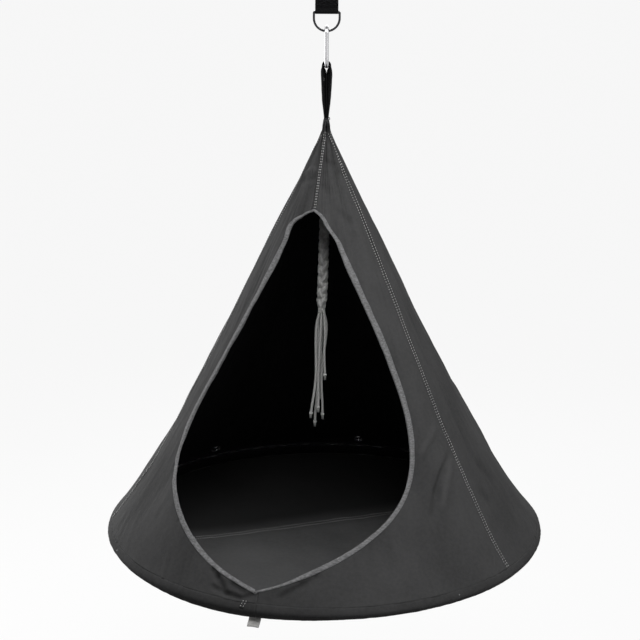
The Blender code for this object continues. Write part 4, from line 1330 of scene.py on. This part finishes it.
# %% The gate and its rivet
tongue_reach = math.hypot(GATE_RADIUS, HOOK_WIRE / 2) + PLAY
nose_way = (nose_end - pivot).length
gate_end = nose_way + 0.0052
gap = TONGUE / 2 + PLAY
bar = rod(in_hook(pivot - down * GATE_RADIUS), in_hook(pivot + down * gate_end), GATE_RADIUS)
rims = [edge for edge in bar.edges if len(edge.link_faces) == 2 and edge.calc_face_angle() > 1.2]
bmesh.ops.bevel(bar, geom=rims, offset=0.0012, segments=3, profile=0.5, affect="EDGES", material=-1)
slots = [
    block(pivot, down, (-gap, -HOOK_WIRE, -HOOK_WIRE), (gap, HOOK_WIRE, tongue_reach)),
    block(pivot, down, (-gap, -HOOK_WIRE, nose_way - PLAY), (gap, HOOK_WIRE, gate_end + HOOK_WIRE)),
    rod(in_hook(pivot), in_hook(pivot + down * (tongue_reach + 0.014)), 0.0025, 20),
    bore(0.0015),
]
gate = keep_piece(cut_away(bar, slots), "gate_bar", "gate", [hook_steel], ["hook_gate"])
hard_edges(gate)
rivet = [rod(in_hook(pivot, -GATE_RADIUS), in_hook(pivot, GATE_RADIUS), 0.0013, 20)]
dome = Matrix.Diagonal((0.0023, 0.0023, 0.0008, 1))
for side in (-1, 1):
    rivet.append(bmesh.new())
    place = aimed(in_hook(pivot, side * (GATE_RADIUS - 0.0002)), facing(side, 0, 0)) @ dome
    bmesh.ops.create_uvsphere(rivet[-1], u_segments=20, v_segments=12, radius=1, matrix=place)
keep_piece(join_shapes(rivet), "gate_rivet", "gate", [hook_steel], ["hook_pin"])
finish_plain(frame["nodes"]["gate_spring"], hoop_steel)
print("gate length:", round(gate_end + GATE_RADIUS, 4), "m")

# %% [markdown]
# ** The webbing loops.** Two loops hang over the hook and carry the tent. Their webbing is folded lengthwise, so
# that it passes the hook, and is drawn together to a narrow neck below. The tent can turn under the hook; the
# loops here ride on neither body.

# %% The webbing loops
LOOP_TOP = -0.23005
LOOP_DROP = 0.118
LOOP_STEPS = 170


def make_loop(name, radius, side_path, fat, fold_side, node):
    """A loop of webbing that is folded lengthwise, thin over the hook and bulky below."""
    top = arc((0, 0), radius, 90, 15, 8)
    guides = [(*top[-1], 0)] + [(across, -drop, 0) for drop, across in side_path]
    half = top[:-1] + [point.xy for point in smooth_line(guides, 60)]
    path = even_line([Vector((-p.x, p.y)) for p in half[:0:-1]] + half, LOOP_STEPS)
    length = line_length(path)
    inner_bend = LOW_BEND - HOOK_WIRE / 2

    def place(u, w):
        here = path[round(u * LOOP_STEPS)]
        i = min(round(u * LOOP_STEPS), LOOP_STEPS - 1)
        along = (path[i + 1] - path[i]).normalized()
        away = Vector((-along.y, along.x))
        depth = min(1.0, max(0.0, -here.y / LOOP_DROP))
        wide = 0.0055 - 0.0014 * depth + 0.0030 * (1 - smooth_step(-here.y, 0.0, 0.020))
        swell = smooth_step(-here.y, -0.002, 0.011) * (1 - 0.62 * smooth_step(-here.y, 0.045, LOOP_DROP))
        thick = 0.0005 + (fat - 0.0005) * swell
        turned = math.pi * (1.5 * w - 0.75)
        across = fold_side * wide * math.cos(turned * 0.98)
        puckers = wrinkle(u * 9, w * 4, wide * 400 + fold_side) + 0.6 * wrinkle(u * 22, w * 9, fold_side * 7.0)
        # Over the hook's wire the edges of the webbing rise with its bend.
        over_wire = max(0.0, 1 + min(0.0, here.y) / 0.016)
        lift = (inner_bend - math.sqrt(inner_bend**2 - across**2)) * over_wire
        off = (thick + 0.0007 * puckers * swell) * math.sin(turned) + 0.5 * lift
        drift = 0.0006 * swell * wrinkle(u * 5, fold_side * 3.0, 8.0)
        return facing(here.x + away.x * off + drift, across, here.y + away.y * off + lift + LOOP_TOP)

    shape = cloth_grid(LOOP_STEPS, 28, place, lambda u, w: (u * length, (w - 0.5) * 0.025))
    piece = keep_piece(shape, name, None, [loop_webbing_painted_light], [node])
    thicken(piece, 0.0009, offset=0.0)
    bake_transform(piece)
    return length


INNER_SIDE = (
    # how far down, and how far from the middle
    (0.006, 0.0056), (0.011, 0.0036), (0.018, 0.0028), (0.040, 0.0027), (0.078, 0.0021), (LOOP_DROP, 0.0014),
)
OUTER_SIDE = (
    (0.012, 0.0092), (0.030, 0.0090), (0.052, 0.0079), (0.078, 0.0066), (0.100, 0.0046), (LOOP_DROP, 0.0032),
)
for facts in (
    ("loop_inner", 0.0063, INNER_SIDE, 0.0026, 1, "apex_loop_inner"),
    ("loop_outer", 0.0084, OUTER_SIDE, 0.0025, -1, "apex_loop_outer"),
):
    print(facts[0], "is", round(make_loop(*facts), 3), "m long")

# %% [markdown]
# **The neck.** The ends of the webbing run down into the cloth's tip as a lumpy bundle, and dark thread is
# wound round it where the cloth begins. One end of that thread sticks out as a small nub.

# %% The neck
NECK_LENGTH = 0.047


def neck_place(u, w):
    """Five lobes, which draw in towards the lower end."""
    turned = math.tau * w
    radius = 0.0038 + 0.00045 * math.cos(5 * turned + 3 * u) - 0.0012 * smooth_step(u, 0.5, 1.0)
    return Vector((radius * math.cos(turned), radius * math.sin(turned), TIP_Z + 0.0005 - NECK_LENGTH * u))


neck = close_tube(cloth_grid(40, 40, neck_place, lambda u, w: (u * NECK_LENGTH, w * 0.025)))
keep_piece(neck, "neck_bundle", "tent", [webbing], ["neck_tail"])
turns = [Vector(place) for place in coil((0, 0, TIP_Z + 0.0042), 0.0049, 0.0049, 0.00624, 6, 24)]
nub = ((0.0044, 0.0014, 0.003), (0.0068, 0.0020, 0.004), (0.0072, 0.0022, -0.001))
nub = smooth_line([(x, y, TIP_Z + z) for x, y, z in nub], 14)
winding = join_shapes([roll_cord(turns, 0.0006, 8), roll_cord(nub, 0.0008, 8)])
keep_piece(winding, "neck_winding", "tent", [dark_thread])
print("the neck is bound")

# %% [markdown]
# **The rope.** Six cotton cords hang from the apex. In three pairs they are plaited down to the tie, and below
# it they hang loose, each with a knot in its end. In a plait of three, each pair swings from side to side and
# to the front and back at twice that rate, a third of a turn behind the one before it.

# %% The rope's plait
CORD_DIAMETER = 0.0055
ROPE_TOP = 0.9047
TIE_HEIGHT = 0.516
TIE_HALF = 0.0048
TIE_OFFSET = -0.0085
PLAIT_LENGTH = 0.078


def in_rope(x, y, height):
    """A place near the rope: across the view, away from it, and above the hoop's plane."""
    return facing(x, y, height + HOOP_Z)


bends = ((0, 0), (-0.0008, 0.09), (-0.0034, 0.22), (-0.0066, 0.33))
rope_route = [(x, 0, ROPE_TOP - drop) for x, drop in bends]
rope_route += [(TIE_OFFSET, 0, TIE_HEIGHT + over) for over in (0.0138, TIE_HALF)]
ROPE_LINE = smooth_line(rope_route, 200)
rope_path = [in_rope(*point) for point in ROPE_LINE]


def plait_cord(pair, which):
    """One cord of a pair, as points down the rope."""
    line = []
    for i, middle in enumerate(ROPE_LINE):
        share = i / (len(ROPE_LINE) - 1)
        way = (ROPE_LINE[0] - middle).length
        phase = math.tau * (way / PLAIT_LENGTH + pair / 3)
        opening = 0.06 + 0.94 * smooth_step(way, 0.0, 0.06)
        closing = 0.62 + 0.38 * smooth_step(1 - share, 0.0, 0.05)
        reach = opening * closing
        apart = which * 0.0025
        x = (0.0075 * math.sin(phase) + apart * abs(math.cos(phase)) ** 0.5) * reach
        y = (0.0027 * math.sin(2 * phase) + apart * math.sin(phase)) * reach
        line.append(in_rope(middle.x + x, middle.y + y, middle.z))
    return line


def cord_radius(share):
    """Thin at the top. Further down the cords are pressed wider than they are when they hang free."""
    return 1.30 * CORD_DIAMETER / 2 * (0.40 + 0.60 * smooth_step(share, 0.0, 0.16))


def core_radius(share):
    """The core fills the middle, so that nothing shows through the plait."""
    return 0.0018 + 0.0038 * smooth_step(share, 0.0, 0.2)


cords = [roll_cord(plait_cord(pair, which), cord_radius, 10) for pair in range(3) for which in (-1, 1)]
core = roll_cord(rope_path[::8], core_radius)
rope = keep_piece(join_shapes([*cords, core]), "plaited_rope", "rope", [cotton], ["grab_rope"])
print("rope length:", round(line_length(ROPE_LINE), 3), "m, in", len(cords), "cords")

# %% [markdown]
# **The tie.** A thin cotton thread is wound tightly round the six cords where the plait ends.

# %% The tie
TIE_TURNS = 6
wound = coil((TIE_OFFSET, 0, TIE_HEIGHT + 0.0042), 0.0072, 0.0070, 0.0084, TIE_TURNS, 28)
heart = [in_rope(TIE_OFFSET, 0, TIE_HEIGHT + z) for z in (0.0043, 0.0, -0.0043)]
shapes = [roll_cord([in_rope(*place) for place in wound], 0.00085, 8), roll_cord(heart, 0.0068, 20)]
tie = keep_piece(join_shapes(shapes), "tie_winding", "rope", [cotton], ["rope_tie"])
line_length(ROPE_LINE)
print("the tie has", TIE_TURNS, "turns")

# %% [markdown]
# **The tassel.** Below the tie the six cords fall to different lengths, spread a little and end in knots. A
# knot is made as the cord wound once and a half round itself. A few fibres stick out of each cut end.

# %% The tassel
STRANDS = (
    # Where each cord leaves the tie, two places on its way, and its end: across, away, height.
    ((-0.0058, -0.0029), (-0.0214, -0.0040, 0.466), (-0.0216, -0.0045, 0.360), (-0.0319, -0.0060, 0.268)),
    ((-0.0058, 0.0029), (-0.0163, 0.0040, 0.466), (-0.0165, 0.0052, 0.350), (-0.0233, 0.0060, 0.243)),
    ((0.0, -0.0029), (-0.0106, -0.0050, 0.466), (-0.0150, -0.0062, 0.370), (-0.0160, -0.0100, 0.284)),
    ((0.0, 0.0029), (-0.0080, 0.0090, 0.466), (-0.0100, 0.0135, 0.380), (-0.0115, 0.0170, 0.305)),
    ((0.0058, -0.0029), (-0.0009, -0.0050, 0.466), (-0.0020, -0.0045, 0.410), (-0.0002, -0.0040, 0.3595)),
    ((0.0058, 0.0029), (0.0025, 0.0045, 0.466), (-0.0077, 0.0075, 0.3595), (-0.0054, 0.0100, 0.260)),
)


def strand_line(start, *rest):
    """A cord's line from the tie, with a slight unevenness below its start."""
    x, y = TIE_OFFSET + start[0], start[1]
    top = TIE_HEIGHT - TIE_HALF
    route = [(x, y, top), (x, y, top - CORD_DIAMETER / 2), *rest]
    line = []
    for i, point in enumerate(smooth_line([in_rope(*place) for place in route], 70)):
        shift = 0.0012 * smooth_step(i / 70, 0.05, 0.3) * wrinkle(*(point * 18 + Vector((0, 0, x * 900))))
        line.append(point + facing(shift, shift * 0.6, 0))
    return line


def knot_shape(end, down_way):
    """The cord wound one and a half times round itself, just above its end."""
    turns = []
    side = down_way.orthogonal().normalized()
    away = down_way.cross(side)
    for i in range(31):
        turned = 1.5 * math.tau * i / 30
        middle = end - down_way * (0.0058 - 0.0046 * i / 30)
        turns.append(middle + (side * math.cos(turned) + away * math.sin(turned)) * 0.0021)
    return roll_cord(turns, 0.0022, 10)


def make_strand(number, *route):
    line = strand_line(*route)
    down_way = (line[-1] - line[-4]).normalized()
    line.append(line[-1] + down_way * 0.005)
    shapes = [roll_cord(line, CORD_DIAMETER / 2), knot_shape(line[-2], down_way)]
    fibre = ((-0.001, 0.0), (0.0015, 0.3), (0.003, 1.0))
    for k in range(7):
        spread = Vector((math.cos(k * 2.4), math.sin(k * 2.4), 0)) * 0.0016
        root = line[-1] + spread * 0.8
        shapes.append(roll_cord([root + down_way * drop + spread * out for drop, out in fibre], 0.0004, 5))
    node = f"tassel_strand_{number}"
    piece = keep_piece(join_shapes(shapes), f"knotted_cord_{number}", "rope", [cotton], [node])
    length = line_length(line)
    return round(length, 3)


print("cord lengths:", [make_strand(i, *facts) for i, facts in enumerate(STRANDS, 1)])

# %% [markdown]
# **The room.** The tent hangs over a pale floor. The main lamp stands high in front of the doorway, so it
# lights the rope and the front of the floor but leaves the hem's underside dark. Three lamps light the sides,
# a weak one the front and one the back. The floor and the world look white to the camera and to mirror
# surfaces, but give the object itself only a low even light, so that the tent stays dark inside.

# %% The room
LAMPS = (
    # name, place, size, and its share of the light that shows a colour as it is written
    ("main_light", (0.40, -1.32, 1.30), 1.0, 0.34),
    ("high_light", (-1.18, -0.99, 0.94), 1.2, 0.19),
    ("left_light", (-1.96, 0.35, -0.73), 1.2, 0.54),
    ("right_light", (1.50, -0.54, 0.69), 1.2, 0.31),
    ("front_light", (1.50, -1.10, -0.60), 1.0, 0.11),
    ("back_light", (-0.60, 2.20, 0.10), 1.2, 0.45),
)
MIDDLE_HEIGHT = -0.9
GROUND_HEIGHT = -1.95


def lamp(name, place, size, share):
    """A round lamp that faces the tent's middle. A surface there that faces it gets its share of light."""
    reach = Vector((0, 0, MIDDLE_HEIGHT)) - Vector(place)
    light = bpy.data.lights.new(name, "AREA")
    light.shape = "DISK"
    light.size = size
    light.energy = share * math.pi**2 * reach.length_squared
    stand = bpy.data.objects.new(name, light)
    stand.location = place
    stand.rotation_euler = reach.to_track_quat("-Z", "Y").to_euler()
    stand.visible_camera = False
    scene.collection.objects.link(stand)


def seen_directly(start):
    """1 for rays from the camera, in mirrors and through glass, otherwise 0."""
    seen = start.node("ShaderNodeLightPath", out=0)
    glossy = start.node("ShaderNodeLightPath", out=3)
    through = start.node("ShaderNodeLightPath", out=6)
    return seen.math("MAXIMUM", seen.math("MAXIMUM", seen, glossy), through)


for facts in LAMPS:
    lamp(*facts)
floor_paint = bpy.data.materials.new("floor_paint")
floor_paint.use_nodes = True
tree = floor_paint.node_tree
start = Field(tree)
paint = tree.nodes["Principled BSDF"]
paint.inputs["Roughness"].default_value = 0.8
pale = seen_directly(start).tint((0.12, 0.12, 0.12), (0.85, 0.85, 0.85))
tree.links.new(pale.socket, paint.inputs["Base Color"])
glow = start.node("ShaderNodeEmission", {0: (1, 1, 1, 1), 1: 1.0})
shaders = {0: seen_directly(start) * 0.92, 1: Field(tree, paint.outputs[0]), 2: glow}
tree.links.new(start.node("ShaderNodeMixShader", shaders).socket, tree.nodes["Material Output"].inputs[0])
ground = bmesh.new()
bmesh.ops.create_grid(ground, x_segments=1, y_segments=1, size=14)
bmesh.ops.translate(ground, vec=(0, 0, GROUND_HEIGHT), verts=ground.verts)
keep_piece(ground, "studio_floor", None, [floor_paint], smooth=False)
scene.world = bpy.data.worlds.new("studio")
scene.world.use_nodes = True
tree = scene.world.node_tree
start = Field(tree)
even, white = (start.node("ShaderNodeBackground", {0: (1, 1, 1, 1), 1: power}) for power in (0.02, 1.0))
shaders = {0: seen_directly(start), 1: even, 2: white}
tree.links.new(start.node("ShaderNodeMixShader", shaders).socket, tree.nodes["World Output"].inputs[0])
print(len(LAMPS), "lamps, a floor and a pale world")
